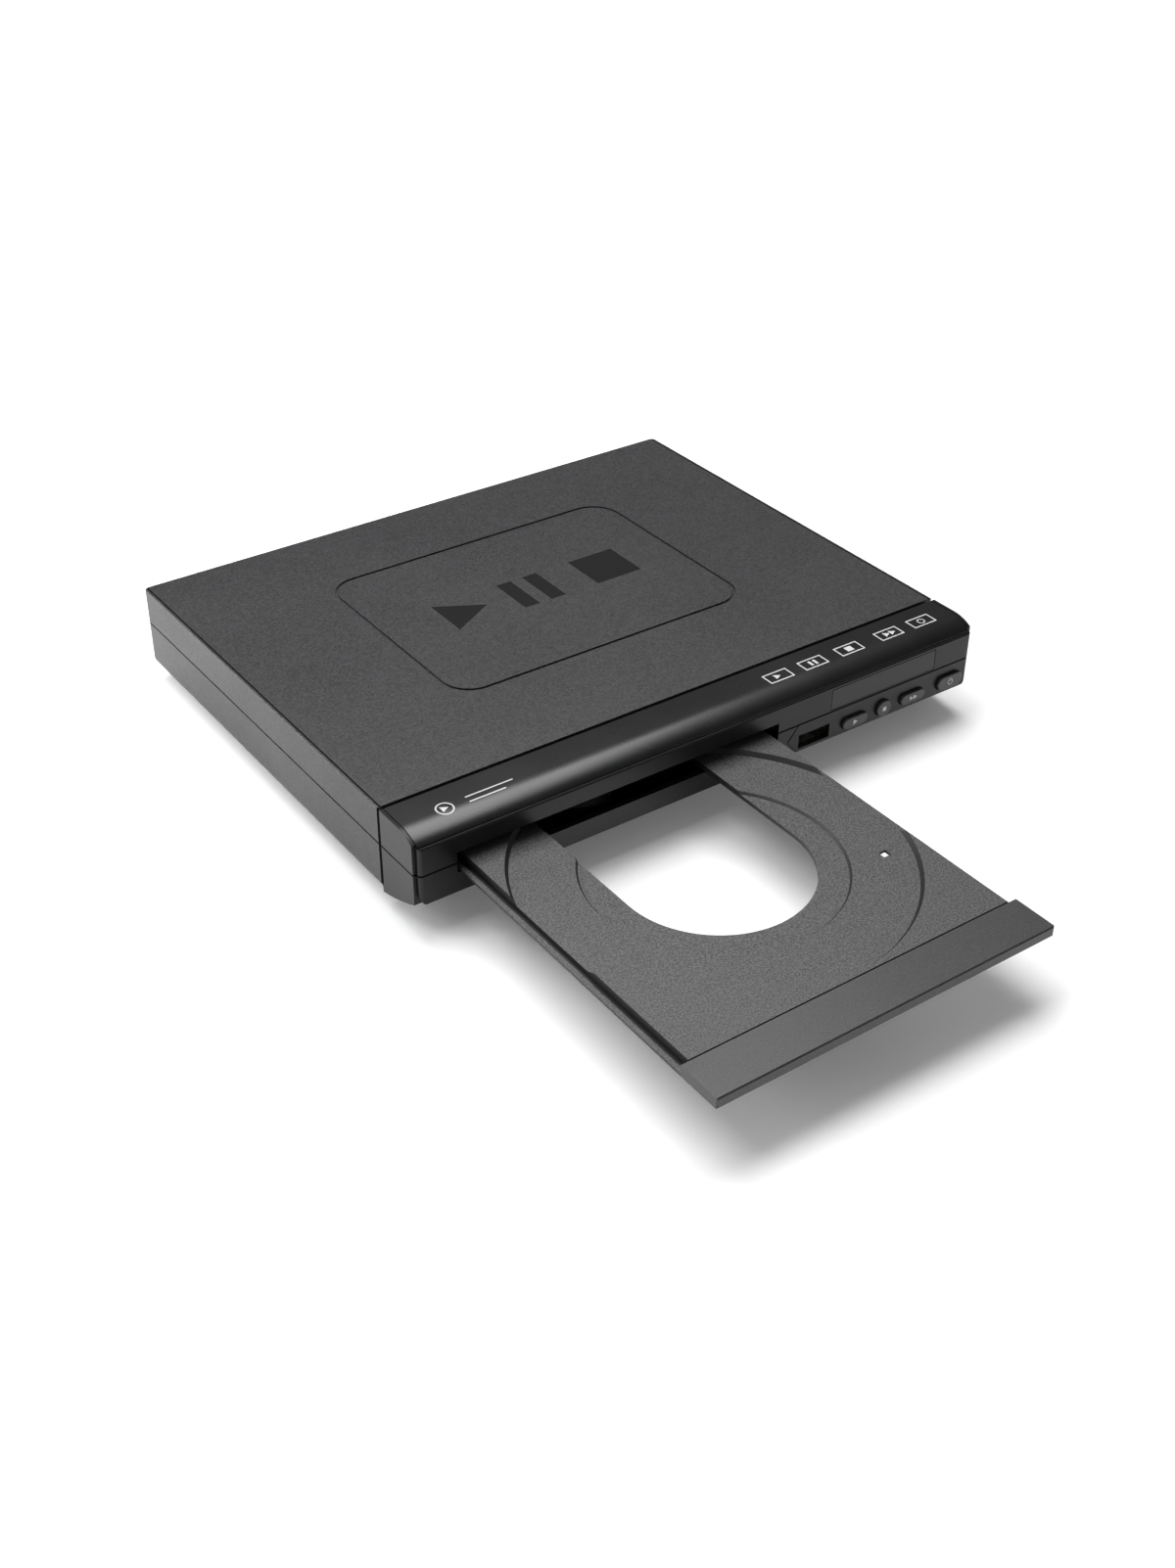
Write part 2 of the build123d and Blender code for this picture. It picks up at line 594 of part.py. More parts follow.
TRAY_FRONT = DOOR_DEEP - TRAY_OUT
disc_centre = (0, DISC_DEPTH)
SKIN_RIM = 1.2
SKIN_RECESS = 1.0
RIB = 1.2
RACK_ROOT = RACK_LINE + DEDENDUM * GEAR_MODULE
RACK_ENDS = (TRAY_FRONT + 3.0, 32.0)
GEAR_WAY = (42.3, 57.0)    # the clear way under the tray that the pinion runs in


def cutout(grow):
    """The U-shaped cut-out, open to the rear, or its outline grown by a rib."""
    with Locations(disc_centre):
        Circle(CUTOUT_R + grow)
    with Locations((0, (DISC_DEPTH + TRAY_TAIL + 10) / 2)):
        Rectangle(2 * (CUTOUT_R + grow), TRAY_TAIL + 10 - DISC_DEPTH)


def inside_walls():
    """The tray's footprint inside its outer walls."""
    with Locations((0, (TRAY_FRONT + TRAY_TAIL) / 2)):
        Rectangle(2 * (TRAY_HALF - RIB), TRAY_TAIL - TRAY_FRONT - 2 * RIB)


def rack_outline():
    """Rack teeth that point to the centre line, with a gap where the pinion's tooth lies."""
    pitch = pi * GEAR_MODULE
    lean = tan(PRESSURE)
    half = TOOTH_SHARE * pitch / 2
    tip = RACK_LINE - ADDENDUM * GEAR_MODULE
    points = [(GEAR_WAY[1] + 0.2, RACK_ENDS[0]), (RACK_ROOT, RACK_ENDS[0])]
    first = int((RACK_ENDS[0] - GEAR_DEPTH) / pitch) + 1
    last = int((RACK_ENDS[1] - GEAR_DEPTH) / pitch) - 1
    for tooth in range(first, last + 1):
        middle = GEAR_DEPTH + (tooth + 0.5) * pitch
        root = half + DEDENDUM * GEAR_MODULE * lean
        crest = half - ADDENDUM * GEAR_MODULE * lean
        points += [(RACK_ROOT, middle - root), (tip, middle - crest),
                   (tip, middle + crest), (RACK_ROOT, middle + root)]
    return points + [(RACK_ROOT, RACK_ENDS[1]), (GEAR_WAY[1] + 0.2, RACK_ENDS[1])]


with BuildPart() as disc_tray:
    brick(level(TRAY_LOW_Z, TRAY_X), (-TRAY_HALF, TRAY_HALF), (TRAY_FRONT, TRAY_TAIL),
          RIM_Z - TRAY_LOW_Z)
    for side in (-1, 1):
        brick(level(TRAY_LOW_Z, TRAY_X), sorted((side * (TRAY_HALF - 0.5), side * DOOR_HALF)),
              (TRAY_FRONT, TRAY_TAIL), 1.4)
    # Disc recesses with bevelled walls
    with Locations((TRAY_X, FACE_Y + DISC_DEPTH, RECESS_Z)):
        Cone(RECESS_R - 1.1, RECESS_R, RIM_Z - RECESS_Z,
             align=(Align.CENTER, Align.CENTER, Align.MIN), mode=Mode.SUBTRACT)
    with Locations((TRAY_X, FACE_Y + DISC_DEPTH, SMALL_RECESS_Z)):
        Cone(SMALL_RECESS_R - 0.7, SMALL_RECESS_R, RECESS_Z - SMALL_RECESS_Z,
             align=(Align.CENTER, Align.CENTER, Align.MIN), mode=Mode.SUBTRACT)
    # Hollows under the rim, then under the large recess, between ribs
    with BuildSketch(level(TRAY_LOW_Z, TRAY_X)) as rim_hollow:
        inside_walls()
        with Locations(disc_centre):
            Circle(RECESS_R + 1.0, mode=Mode.SUBTRACT)
        with BuildSketch(mode=Mode.SUBTRACT):
            cutout(RIB)
    extrude(rim_hollow.sketch, amount=RIM_Z - SKIN_RIM - TRAY_LOW_Z, mode=Mode.SUBTRACT)
    with BuildSketch(level(TRAY_LOW_Z, TRAY_X)) as ring_hollow:
        inside_walls()
        with Locations(disc_centre):
            Circle(RECESS_R - 1.2, mode=Mode.INTERSECT)
            Circle(SMALL_RECESS_R + 1.0, mode=Mode.SUBTRACT)
        with BuildSketch(mode=Mode.SUBTRACT):
            cutout(RIB)
    extrude(ring_hollow.sketch, amount=RECESS_Z - SKIN_RECESS - TRAY_LOW_Z,
            mode=Mode.SUBTRACT)
    # The pinion's way, clear of ribs, and the rack beside it
    brick(level(TRAY_LOW_Z, TRAY_X), GEAR_WAY, (TRAY_FRONT + 3.0, TRAY_TAIL - RIB),
          RECESS_Z - SKIN_RECESS - TRAY_LOW_Z, mode=Mode.SUBTRACT)
    with BuildSketch(level(TRAY_LOW_Z, TRAY_X)) as rack:
        with BuildLine():
            Polyline(*rack_outline(), close=True)
        make_face()
    extrude(rack.sketch, amount=RECESS_Z - SKIN_RECESS - TRAY_LOW_Z)
    with BuildSketch(level(TRAY_LOW_Z, TRAY_X)) as opening:
        cutout(0)
        with Locations((46.3, -67.9)):
            Rectangle(2.8, 2.7)
    extrude(opening.sketch, amount=RIM_Z - TRAY_LOW_Z, mode=Mode.SUBTRACT)
finish(disc_tray, "disc_tray")

with BuildPart() as tray_door:
    brick(level(TRAY_LOW_Z, TRAY_X), (-DOOR_HALF, DOOR_HALF), (-TRAY_OUT, TRAY_FRONT),
          RIM_Z - TRAY_LOW_Z)
    chamfer(tray_door.faces().sort_by(Axis.Y)[0].edges(), length=0.4)
    brick(level(TRAY_LOW_Z, TRAY_X), (1.6 - DOOR_HALF, DOOR_HALF - 1.6),
          (1.6 - TRAY_OUT, TRAY_FRONT - 1.2), RIM_Z - TRAY_LOW_Z - 1.4, mode=Mode.SUBTRACT)
    for rib_x in (-30.0, 0.0, 30.0):
        brick(level(TRAY_LOW_Z + 0.6, TRAY_X), (rib_x - 0.6, rib_x + 0.6),
              (1.0 - TRAY_OUT, TRAY_FRONT - 0.6), 2.2)
finish(tray_door, "tray_door")


# ---- Loader frame and what is fixed to it -----------------------------------------------------------

inner_half = LOADER_HALF - 2.0
LOADER_TOP_Z = 26.0
LOADER_LOW_Z = 7.4
PINION_AXLE_X = RACK_LINE - GEAR_MODULE * TRAY_PINION_TEETH / 2
BELT_AXLE_X = PINION_AXLE_X - GEAR_MODULE * (DRIVE_TEETH + BELT_PINION_TEETH) / 2
BEARING_X = (TRAVERSE_HALF + 2.0, TRAVERSE_HALF + 7.5)
TRUNNION_R = 2.0
SLIDER_DEPTH = (43.2, 45.7)
SLIDER_LOW_Z = 8.5
SLIDER_TOP_Z = 18.4

with BuildPart() as loader_frame:
    deck_low = DECK_Z - DECK_THICK
    brick(level(deck_low, TRAY_X), (-LOADER_HALF, LOADER_HALF), (DECK_FRONT, 41.5), DECK_THICK)
    for side in (-1, 1):
        brick(level(LOADER_LOW_Z, TRAY_X), sorted((side * inner_half, side * LOADER_HALF)),
              (FRONT_DEEP, LOADER_BACK), LOADER_TOP_Z - LOADER_LOW_Z)
        brick(level(deck_low, TRAY_X), sorted((side * inner_half, side * LOADER_HALF)),
              (DECK_FRONT, FRONT_DEEP), LOADER_TOP_Z - deck_low)
        brick(level(15.5, TRAY_X), sorted((side * inner_half, side * LOADER_HALF)),
              (LOADER_FRONT, DECK_FRONT), LOADER_TOP_Z - 15.5)
        # Ledge under the tray's rail and the tabs that hold the rail down
        brick(level(18.2, TRAY_X), sorted((side * 59.4, side * (inner_half + 0.5))),
              (LOADER_FRONT, LOADER_BACK), 1.55)
        for tab_depth in (20.0, 52.0, 120.0):
            brick(level(21.5, TRAY_X), sorted((side * 59.0, side * (inner_half + 0.5))),
                  (tab_depth, tab_depth + 8.0), 1.3)
        # Pivot bearing, tied to the side wall
        brick(level(LOADER_LOW_Z, TRAY_X), sorted((side * BEARING_X[0], side * BEARING_X[1])),
              (PIVOT_DEPTH - 5, PIVOT_DEPTH + 5), PIVOT_Z + 3.2 - LOADER_LOW_Z)
        brick(level(LOADER_LOW_Z, TRAY_X), sorted((side * BEARING_X[1], side * LOADER_HALF)),
              (PIVOT_DEPTH - 2, PIVOT_DEPTH + 2), PIVOT_Z + 2 - LOADER_LOW_Z)
    brick(level(LOADER_LOW_Z, TRAY_X), (-LOADER_HALF, LOADER_HALF),
          (LOADER_BACK - 1.8, LOADER_BACK), LOADER_TOP_Z - LOADER_LOW_Z)
    # Bar that the cam slider slides on, with a fence in front and behind
    brick(level(LOADER_LOW_Z, TRAY_X), (-LOADER_HALF, LOADER_HALF), (41.5, 46.9), 0.9)
    brick(level(LOADER_LOW_Z, TRAY_X), (-LOADER_HALF, LOADER_HALF), (41.5, 42.9), 3.6)
    for fence_x in (-60.0, 0.0, 60.0):
        brick(level(LOADER_LOW_Z, TRAY_X), (fence_x - 2.0, fence_x + 2.0), (46.0, 46.9), 3.6)
    # Ears with screw holes
    with BuildSketch(level(deck_low, TRAY_X)) as ears:
        with Locations(*LOADER_EARS):
            Circle(3.2)
        with Locations(*[(x * 0.97, d) for x, d in LOADER_EARS]):
            Rectangle(4.0, 6.4)
    extrude(ears.sketch, amount=2.0)
    with BuildSketch(level(deck_low, TRAY_X)) as ear_holes:
        with Locations(*LOADER_EARS):
            Circle(1.6)
    extrude(ear_holes.sketch, amount=2.0, mode=Mode.SUBTRACT)
    # Motor hole and gear posts
    drum(level(deck_low, TRAY_X), (MOTOR_OFF, GEAR_DEPTH), 10.3, DECK_THICK,
         mode=Mode.SUBTRACT)
    drum(level(DECK_Z - 0.5, TRAY_X), (PINION_AXLE_X, GEAR_DEPTH), 3.0, 3.3)
    drum(level(DECK_Z - 0.5, TRAY_X), (BELT_AXLE_X, GEAR_DEPTH), 3.0, 3.3)
    drum(level(DECK_Z, TRAY_X), (PINION_AXLE_X, GEAR_DEPTH), AXLE_R, 9.8)
    drum(level(DECK_Z, TRAY_X), (BELT_AXLE_X, GEAR_DEPTH), AXLE_R, 8.4)
    # Trunnion bores, straight through both bearings
    with BuildSketch(Plane.YZ.offset(TRAY_X - BEARING_X[1])) as bores:
        with Locations((FACE_Y + PIVOT_DEPTH, PIVOT_Z)):
            Circle(TRUNNION_R + RUNNING)
    extrude(bores.sketch, amount=2 * BEARING_X[1], mode=Mode.SUBTRACT)
finish(loader_frame, "loader_frame")

with BuildPart() as loader_screws:
    with BuildSketch(level(deck_low + 2.0, TRAY_X)):
        with Locations(*LOADER_EARS):
            Circle(2.6)
    extrude(amount=1.4)
    with BuildSketch(level(SCREW_SEAT_Z - 1.5, TRAY_X)):
        with Locations(*LOADER_EARS):
            Circle(1.2)
    extrude(amount=deck_low + 2.0 - SCREW_SEAT_Z + 1.5)
finish(loader_screws, "loader_screws")

MOTOR_R = 10.0
MOTOR_LOW_Z = 8.3
MOTOR_TOP_Z = 16.6
with BuildPart() as loading_motor:
    drum(level(MOTOR_LOW_Z, TRAY_X), (MOTOR_OFF, GEAR_DEPTH), MOTOR_R,
         MOTOR_TOP_Z - MOTOR_LOW_Z)
    fillet(loading_motor.edges().filter_by(GeomType.CIRCLE), radius=0.8)
    drum(level(DECK_Z, TRAY_X), (MOTOR_OFF, GEAR_DEPTH), MOTOR_R + 2.2, 1.0)
    drum(level(MOTOR_TOP_Z - 1, TRAY_X), (MOTOR_OFF, GEAR_DEPTH), 0.8, 4.0)
finish(loading_motor, "loading_motor")


def grooved_pulley(groove_r, axle_off, bore_r):
    """A pulley at the belt's height, with a V groove for the round belt."""
    half_tall = 1.3
    lip_r = groove_r + BELT_R * 1.2
    with BuildSketch(Plane(origin=(TRAY_X + axle_off, FACE_Y + GEAR_DEPTH, BELT_Z),
                           x_dir=(1, 0, 0), z_dir=(0, -1, 0))) as half_section:
        with BuildLine():
            Polyline((bore_r, -half_tall), (lip_r, -half_tall), (groove_r - BELT_R, 0),
                     (lip_r, half_tall), (bore_r, half_tall), close=True)
        make_face()
    axis = Axis((TRAY_X + axle_off, FACE_Y + GEAR_DEPTH, BELT_Z), (0, 0, 1))
    revolve(half_section.sketch, axis=axis)


with BuildPart() as motor_pulley:
    grooved_pulley(MOTOR_GROOVE_R, MOTOR_OFF, 0.8 + RUNNING)
finish(motor_pulley, "motor_pulley")

GEAR_LOW_Z = 13.9
with BuildPart() as belt_gear:
    grooved_pulley(BELT_GROOVE_R, BELT_AXLE_X, AXLE_R + RUNNING)
    spur(level(GEAR_LOW_Z, TRAY_X), (BELT_AXLE_X, GEAR_DEPTH), BELT_PINION_TEETH,
         BELT_Z - 1.3 - GEAR_LOW_Z, turned=pi / BELT_PINION_TEETH)
    drum(level(GEAR_LOW_Z, TRAY_X), (BELT_AXLE_X, GEAR_DEPTH), AXLE_R + RUNNING, 8,
         mode=Mode.SUBTRACT)
finish(belt_gear, "belt_gear")

DRIVE_TALL = 2.5
with BuildPart() as drive_gear:
    spur(level(GEAR_LOW_Z, TRAY_X), (PINION_AXLE_X, GEAR_DEPTH), DRIVE_TEETH, DRIVE_TALL)
    spur(level(GEAR_LOW_Z + DRIVE_TALL, TRAY_X), (PINION_AXLE_X, GEAR_DEPTH),
         TRAY_PINION_TEETH, RECESS_Z - SKIN_RECESS - 0.15 - GEAR_LOW_Z - DRIVE_TALL)
    with BuildSketch(level(GEAR_LOW_Z + 1.0, TRAY_X)) as web:
        with Locations((PINION_AXLE_X, GEAR_DEPTH)):
            Circle(8.6)
            Circle(3.4, mode=Mode.SUBTRACT)
    extrude(web.sketch, amount=-1.0, mode=Mode.SUBTRACT)
    drum(level(GEAR_LOW_Z, TRAY_X), (PINION_AXLE_X, GEAR_DEPTH), AXLE_R + RUNNING, 8,
         mode=Mode.SUBTRACT)
finish(drive_gear, "drive_gear")

# The belt's round section runs along the two outer tangents of the pulleys.
with BuildPart() as drive_belt:
    span = BELT_AXLE_X - MOTOR_OFF
    lean = acos((BELT_GROOVE_R - MOTOR_GROOVE_R) / span)
    motor_x = TRAY_X + MOTOR_OFF
    belt_y = FACE_Y + GEAR_DEPTH

    def on_pulley(x, radius, angle):
        return (x + radius * cos(angle), belt_y + radius * sin(angle), BELT_Z)

    near = motor_x
    far = TRAY_X + BELT_AXLE_X
    groove = BELT_R * 0.65
    small, large = MOTOR_GROOVE_R + groove, BELT_GROOVE_R + groove
    with BuildLine() as loop:
        Line(on_pulley(near, small, pi - lean), on_pulley(far, large, pi - lean))
        ThreePointArc(on_pulley(far, large, pi - lean), on_pulley(far, large, 0),
                      on_pulley(far, large, lean - pi))
        Line(on_pulley(far, large, lean - pi), on_pulley(near, small, lean - pi))
        ThreePointArc(on_pulley(near, small, lean - pi), on_pulley(near, small, pi),
                      on_pulley(near, small, pi - lean))
    with BuildSketch(loop.line ^ 0):
        Circle(BELT_R)
    sweep(path=loop.line)
finish(drive_belt, "drive_belt")

slider_pins = [side * CAM_PIN_X for side in (-1, 1)]
lean_sin = sin(radians(DIP))
lean_cos = cos(radians(DIP))
PIN_REACH = PIVOT_DEPTH - sum(SLIDER_DEPTH) / 2
pin_low_z = PIVOT_Z + CAM_PIN_H * lean_cos - PIN_REACH * lean_sin
pin_high_z = PIVOT_Z + CAM_PIN_H
CAM_SLOT_R = 1.9
with BuildPart() as cam_slider:
    brick(upright(SLIDER_DEPTH[1], x=TRAY_X), (-52.0, 38.0), (SLIDER_LOW_Z, SLIDER_TOP_Z),
          SLIDER_DEPTH[1] - SLIDER_DEPTH[0])
    with BuildSketch(upright(SLIDER_DEPTH[1], x=TRAY_X)) as ramps:
        for pin_x in slider_pins:
            with BuildLine():
                Polyline((pin_x + 2, pin_low_z), (pin_x, pin_low_z),
                         (pin_x - CAM_TRAVEL, pin_high_z), (pin_x - CAM_TRAVEL - 2, pin_high_z))
            trace(line_width=2 * CAM_SLOT_R)
    extrude(ramps.sketch, amount=3, mode=Mode.SUBTRACT)
    with BuildSketch(upright(SLIDER_DEPTH[1], x=TRAY_X)) as relief:
        with Locations((-5.0, 13.5)):
            SlotOverall(22.0, 4.0)
    extrude(relief.sketch, amount=3, mode=Mode.SUBTRACT)
finish(cam_slider, "cam_slider")

# ---- Clamp bridge and clamper ---------------------------------------------------------------------------

CLAMP_DEPTH = DISC_DEPTH + TRAY_OUT
BRIDGE_Z = LOADER_TOP_Z
BRIDGE_HOLE_R = 12.0
clamp_spot = (0, CLAMP_DEPTH)
with BuildPart() as clamp_bridge:
    with BuildSketch(level(BRIDGE_Z, TRAY_X)) as plate:
        with Locations(clamp_spot):
            Rectangle(2 * LOADER_HALF, 30.0)
            Circle(21.0)
    extrude(plate.sketch, amount=1.4)
    for side in (-1, 1):
        edge = CLAMP_DEPTH + side * 15.0
        for across in ((-LOADER_HALF + 8, -15.0), (15.0, LOADER_HALF - 8)):
            brick(level(BRIDGE_Z, TRAY_X), across, sorted((edge, edge - side * 1.2)), 4.2)
    drum(level(BRIDGE_Z, TRAY_X), clamp_spot, BRIDGE_HOLE_R + 1.6, 2.4)
    drum(level(BRIDGE_Z, TRAY_X), clamp_spot, BRIDGE_HOLE_R, 2.4, mode=Mode.SUBTRACT)
finish(clamp_bridge, "clamp_bridge")

with BuildPart() as bridge_screws:
    with BuildSketch(level(BRIDGE_Z + 1.4, TRAY_X)):
        with Locations(*[(x, CLAMP_DEPTH + y) for x in (-61.6, 61.6) for y in (-9.0, 9.0)]):
            Circle(2.2)
    extrude(amount=1.3)
finish(bridge_screws, "bridge_screws")

clamp_top = BRIDGE_Z + 2.5
with BuildPart() as clamper:
    drum(level(BRIDGE_Z - 1.5, TRAY_X), clamp_spot, 15.0, 1.2)
    drum(level(BRIDGE_Z - 1.5, TRAY_X), clamp_spot, BRIDGE_HOLE_R - 1.0, 5.0)
    drum(level(clamp_top, TRAY_X), clamp_spot, 15.0, 1.6)
    fillet(clamper.edges().filter_by(GeomType.CIRCLE).sort_by(SortBy.RADIUS)[-2:], radius=0.4)
    drum(level(BRIDGE_Z - 1.5, TRAY_X), clamp_spot, 8.2, 2.4, mode=Mode.SUBTRACT)
    drum(level(BRIDGE_Z + 1.6, TRAY_X), clamp_spot, 9.0, 6.0, mode=Mode.SUBTRACT)
finish(clamper, "clamper")

with BuildPart() as clamper_magnet:
    drum(level(BRIDGE_Z + 1.6, TRAY_X), clamp_spot, 8.9, 2.0)
    drum(level(BRIDGE_Z + 1.6, TRAY_X), clamp_spot, 3.5, 2.0, mode=Mode.SUBTRACT)
finish(clamper_magnet, "clamper_magnet")


# ---- Traverse: frame, plate, spindle, rods, pickup, sled drive ---------------------------------------------

DAMPER_SPOTS = [(x, y) for x in (-43.5, 43.5) for y in (-110.0, -18.0)]
with BuildPart() as traverse_frame:
    with BuildSketch(traverse(-1.5)) as ring:
        with Locations((0, (TRAVERSE_FRONT + 3) / 2)):
            RectangleRounded(2 * TRAVERSE_HALF, 3 - TRAVERSE_FRONT, 3.0)
            RectangleRounded(2 * (TRAVERSE_HALF - 9.5), 3 - TRAVERSE_FRONT - 14, 3.0,
                             mode=Mode.SUBTRACT)
    extrude(ring.sketch, amount=3.5)
    with BuildSketch(traverse(0)) as cups:
        with Locations(*DAMPER_SPOTS):
            Circle(4.2)
    extrude(cups.sketch, amount=2.6)
    with BuildSketch(traverse(0.2)) as cup_holes:
        with Locations(*DAMPER_SPOTS):
            Circle(3.0)
    extrude(cup_holes.sketch, amount=3.0, mode=Mode.SUBTRACT)
    # Trunnions at the back, cam pins at the front
    trunnion_plane = Plane(origin=traverse(0).from_local_coords((-BEARING_X[1] + 0.5, 0, 0)),
                           x_dir=traverse(0).y_dir, z_dir=(1, 0, 0))
    for reach in ((0, BEARING_X[1] - 0.5 - TRAVERSE_HALF + 3),
                  (BEARING_X[1] - 0.5 + TRAVERSE_HALF - 3, 2 * BEARING_X[1] - 1)):
        with BuildSketch(trunnion_plane.offset(reach[0])) as trunnion:
            Circle(TRUNNION_R)
        extrude(trunnion.sketch, amount=reach[1] - reach[0])
    for pin_x in slider_pins:
        drum(traverse_section(TRAVERSE_FRONT + 1.0, height=CAM_PIN_H), (pin_x, 0), 1.5, 5.8)
finish(traverse_frame, "traverse_frame")

with BuildPart() as dampers:
    with BuildSketch(traverse(0.2)) as bodies:
        with Locations(*DAMPER_SPOTS):
            Circle(2.95)
    extrude(bodies.sketch, amount=PLATE_LOW - 0.2)
finish(dampers, "dampers")

PICKUP_WIDE = 26.0
PLATE_HALF = 48.0
WINDOW_ALONG = (-79.0, -17.5)
ROD_BLOCKS = ((-82.0, -79.0), (-17.0, -14.0))
with BuildPart() as traverse_plate:
    with BuildSketch(traverse(PLATE_LOW)) as sheet:
        with Locations((0, -64.0)):
            RectangleRounded(2 * PLATE_HALF, 106.0, 5.0)
        with Locations((0, sum(WINDOW_ALONG) / 2)):
            Rectangle(58.0, WINDOW_ALONG[1] - WINDOW_ALONG[0], mode=Mode.SUBTRACT)
        with Locations((0, SPINDLE_Y)):
            Circle(11.2, mode=Mode.SUBTRACT)
    extrude(sheet.sketch, amount=PLATE_TOP - PLATE_LOW)
    for along in ROD_BLOCKS:
        for rod_x in (-ROD_X, ROD_X):
            brick(traverse(ROD_H - 2.6), (rod_x - 2.8, rod_x + 2.8), along,
                  PLATE_LOW + 0.2 - ROD_H + 2.6)
    brick(traverse(SCREW_H - 2.2), (SCREW_X - 2.2, SCREW_X + 2.2), ROD_BLOCKS[0],
          PLATE_LOW + 0.2 - SCREW_H + 2.2)
    for rod_x in (-ROD_X, ROD_X):
        drum(traverse_section(ROD_BLOCKS[1][1], height=ROD_H), (rod_x, 0), ROD_R, 80,
             mode=Mode.SUBTRACT)
    drum(traverse_section(ROD_BLOCKS[0][1] + 1, height=SCREW_H), (SCREW_X, 0),
         1.0 + RUNNING, 8, mode=Mode.SUBTRACT)
finish(traverse_plate, "traverse_plate")

with BuildPart() as plate_screws:
    with BuildSketch(traverse(PLATE_TOP)):
        with Locations(*DAMPER_SPOTS):
            Circle(2.2)
    extrude(amount=0.7)
finish(plate_screws, "plate_screws")

with BuildPart() as guide_rods:
    rod_long = ROD_BLOCKS[1][1] - ROD_BLOCKS[0][0]
    with BuildSketch(traverse_section(ROD_BLOCKS[1][1], height=ROD_H)):
        with Locations((-ROD_X, 0), (ROD_X, 0)):
            Circle(ROD_R)
    extrude(amount=rod_long)
finish(guide_rods, "guide_rods")

with BuildPart() as spindle_motor:
    drum(traverse(-0.6), (0, SPINDLE_Y), 11.0, PLATE_LOW + 0.6)
    drum(traverse(PLATE_LOW - 1.0), (0, SPINDLE_Y), 12.4, 1.0)
    drum(traverse(PLATE_LOW - 0.2), (0, SPINDLE_Y), 4.0, 1.4)
    drum(traverse(0.6), (0, SPINDLE_Y), 1.0 + RUNNING, 8, mode=Mode.SUBTRACT)
finish(spindle_motor, "spindle_motor")

HUB_R = 7.4
with BuildPart() as turntable:
    drum(traverse(1.0), (0, SPINDLE_Y), 1.0, 6.0)
    drum(traverse(5.0), (0, SPINDLE_Y), 10.4, TURNTABLE_TOP - 2.0 - 5.0)
    drum(traverse(TURNTABLE_TOP - 2.0), (0, SPINDLE_Y), 15.0, 1.6)
    drum(traverse(TURNTABLE_TOP - 0.5), (0, SPINDLE_Y), HUB_R, 2.1)
    hub_edge = turntable.edges().filter_by(GeomType.CIRCLE).group_by(Axis.Z)[-1]
    chamfer(hub_edge, length=1.2, length2=0.9)
finish(turntable, "turntable")

with BuildPart() as turntable_mat:
    drum(traverse(TURNTABLE_TOP - 0.4), (0, SPINDLE_Y), 14.8, 0.4)
    drum(traverse(TURNTABLE_TOP - 0.4), (0, SPINDLE_Y), 10.5, 0.4, mode=Mode.SUBTRACT)
finish(turntable_mat, "turntable_mat")

LENS_Y = SPINDLE_Y + 24.0
PICKUP_ALONG = (-78.5, -54.5)
with BuildPart() as pickup_base:
    with BuildSketch(traverse(-1.2)) as body:
        with Locations((0, sum(PICKUP_ALONG) / 2)):
            RectangleRounded(2 * PICKUP_WIDE - 12, PICKUP_ALONG[1] - PICKUP_ALONG[0], 3.0)
        with Locations((ROD_X, sum(PICKUP_ALONG) / 2)):
            Rectangle(8.0, PICKUP_ALONG[1] - PICKUP_ALONG[0])
        with Locations((-ROD_X, sum(PICKUP_ALONG) / 2)):
            Rectangle(8.0, 12.0)
    extrude(body.sketch, amount=4.6)
    with BuildSketch(traverse(3.4)) as deck:
        with Locations((0, LENS_Y)):
            RectangleRounded(22.0, 18.0, 2.0)
            Rectangle(15.0, 15.0, mode=Mode.SUBTRACT)
    extrude(deck.sketch, amount=3.4)
    brick(traverse(-1.0), (SCREW_X + 1.9, -PICKUP_WIDE + 6), (-70.0, -62.0), 2.6)
    for rod_x in (-ROD_X, ROD_X):
        drum(traverse_section(PICKUP_ALONG[1] + 1, height=ROD_H), (rod_x, 0),
             ROD_R + RUNNING, 30, mode=Mode.SUBTRACT)
finish(pickup_base, "pickup_base")

with BuildPart() as lens_holder:
    with BuildSketch(traverse(4.0)) as carrier:
        with Locations((0, LENS_Y)):
            RectangleRounded(11.0, 13.0, 1.5)
            Circle(2.2, mode=Mode.SUBTRACT)
    extrude(carrier.sketch, amount=3.2)
finish(lens_holder, "lens_holder")

with BuildPart() as objective_lens:
    drum(traverse(6.0), (0, LENS_Y), 2.2, 1.4)
    fillet(objective_lens.edges().filter_by(GeomType.CIRCLE).group_by(Axis.Z)[-1], radius=0.6)
finish(objective_lens, "objective_lens")

SLED_Y = (-22.0, -8.0)
with BuildPart() as sled_motor:
    drum(traverse_section(SLED_Y[1], height=SCREW_H), (SCREW_X, 0), 4.3,
         SLED_Y[1] - SLED_Y[0])
    drum(traverse_section(SLED_Y[0] + 5, height=SCREW_H), (SCREW_X, 0), 1.0 + RUNNING, 6,
         mode=Mode.SUBTRACT)
finish(sled_motor, "sled_motor")

with BuildPart() as lead_screw:
    drum(traverse_section(SLED_Y[0] - 0.3, height=SCREW_H), (SCREW_X, 0), 1.5,
         SLED_Y[0] - 0.3 - ROD_BLOCKS[0][1] - 0.5)
    drum(traverse_section(SLED_Y[0] + 4, height=SCREW_H), (SCREW_X, 0), 1.0,
         SLED_Y[0] + 4 - ROD_BLOCKS[0][0] - 0.5)
finish(lead_screw, "lead_screw")


# ---- Boards, jacks and the mains inlet ------------------------------------------------------------------------

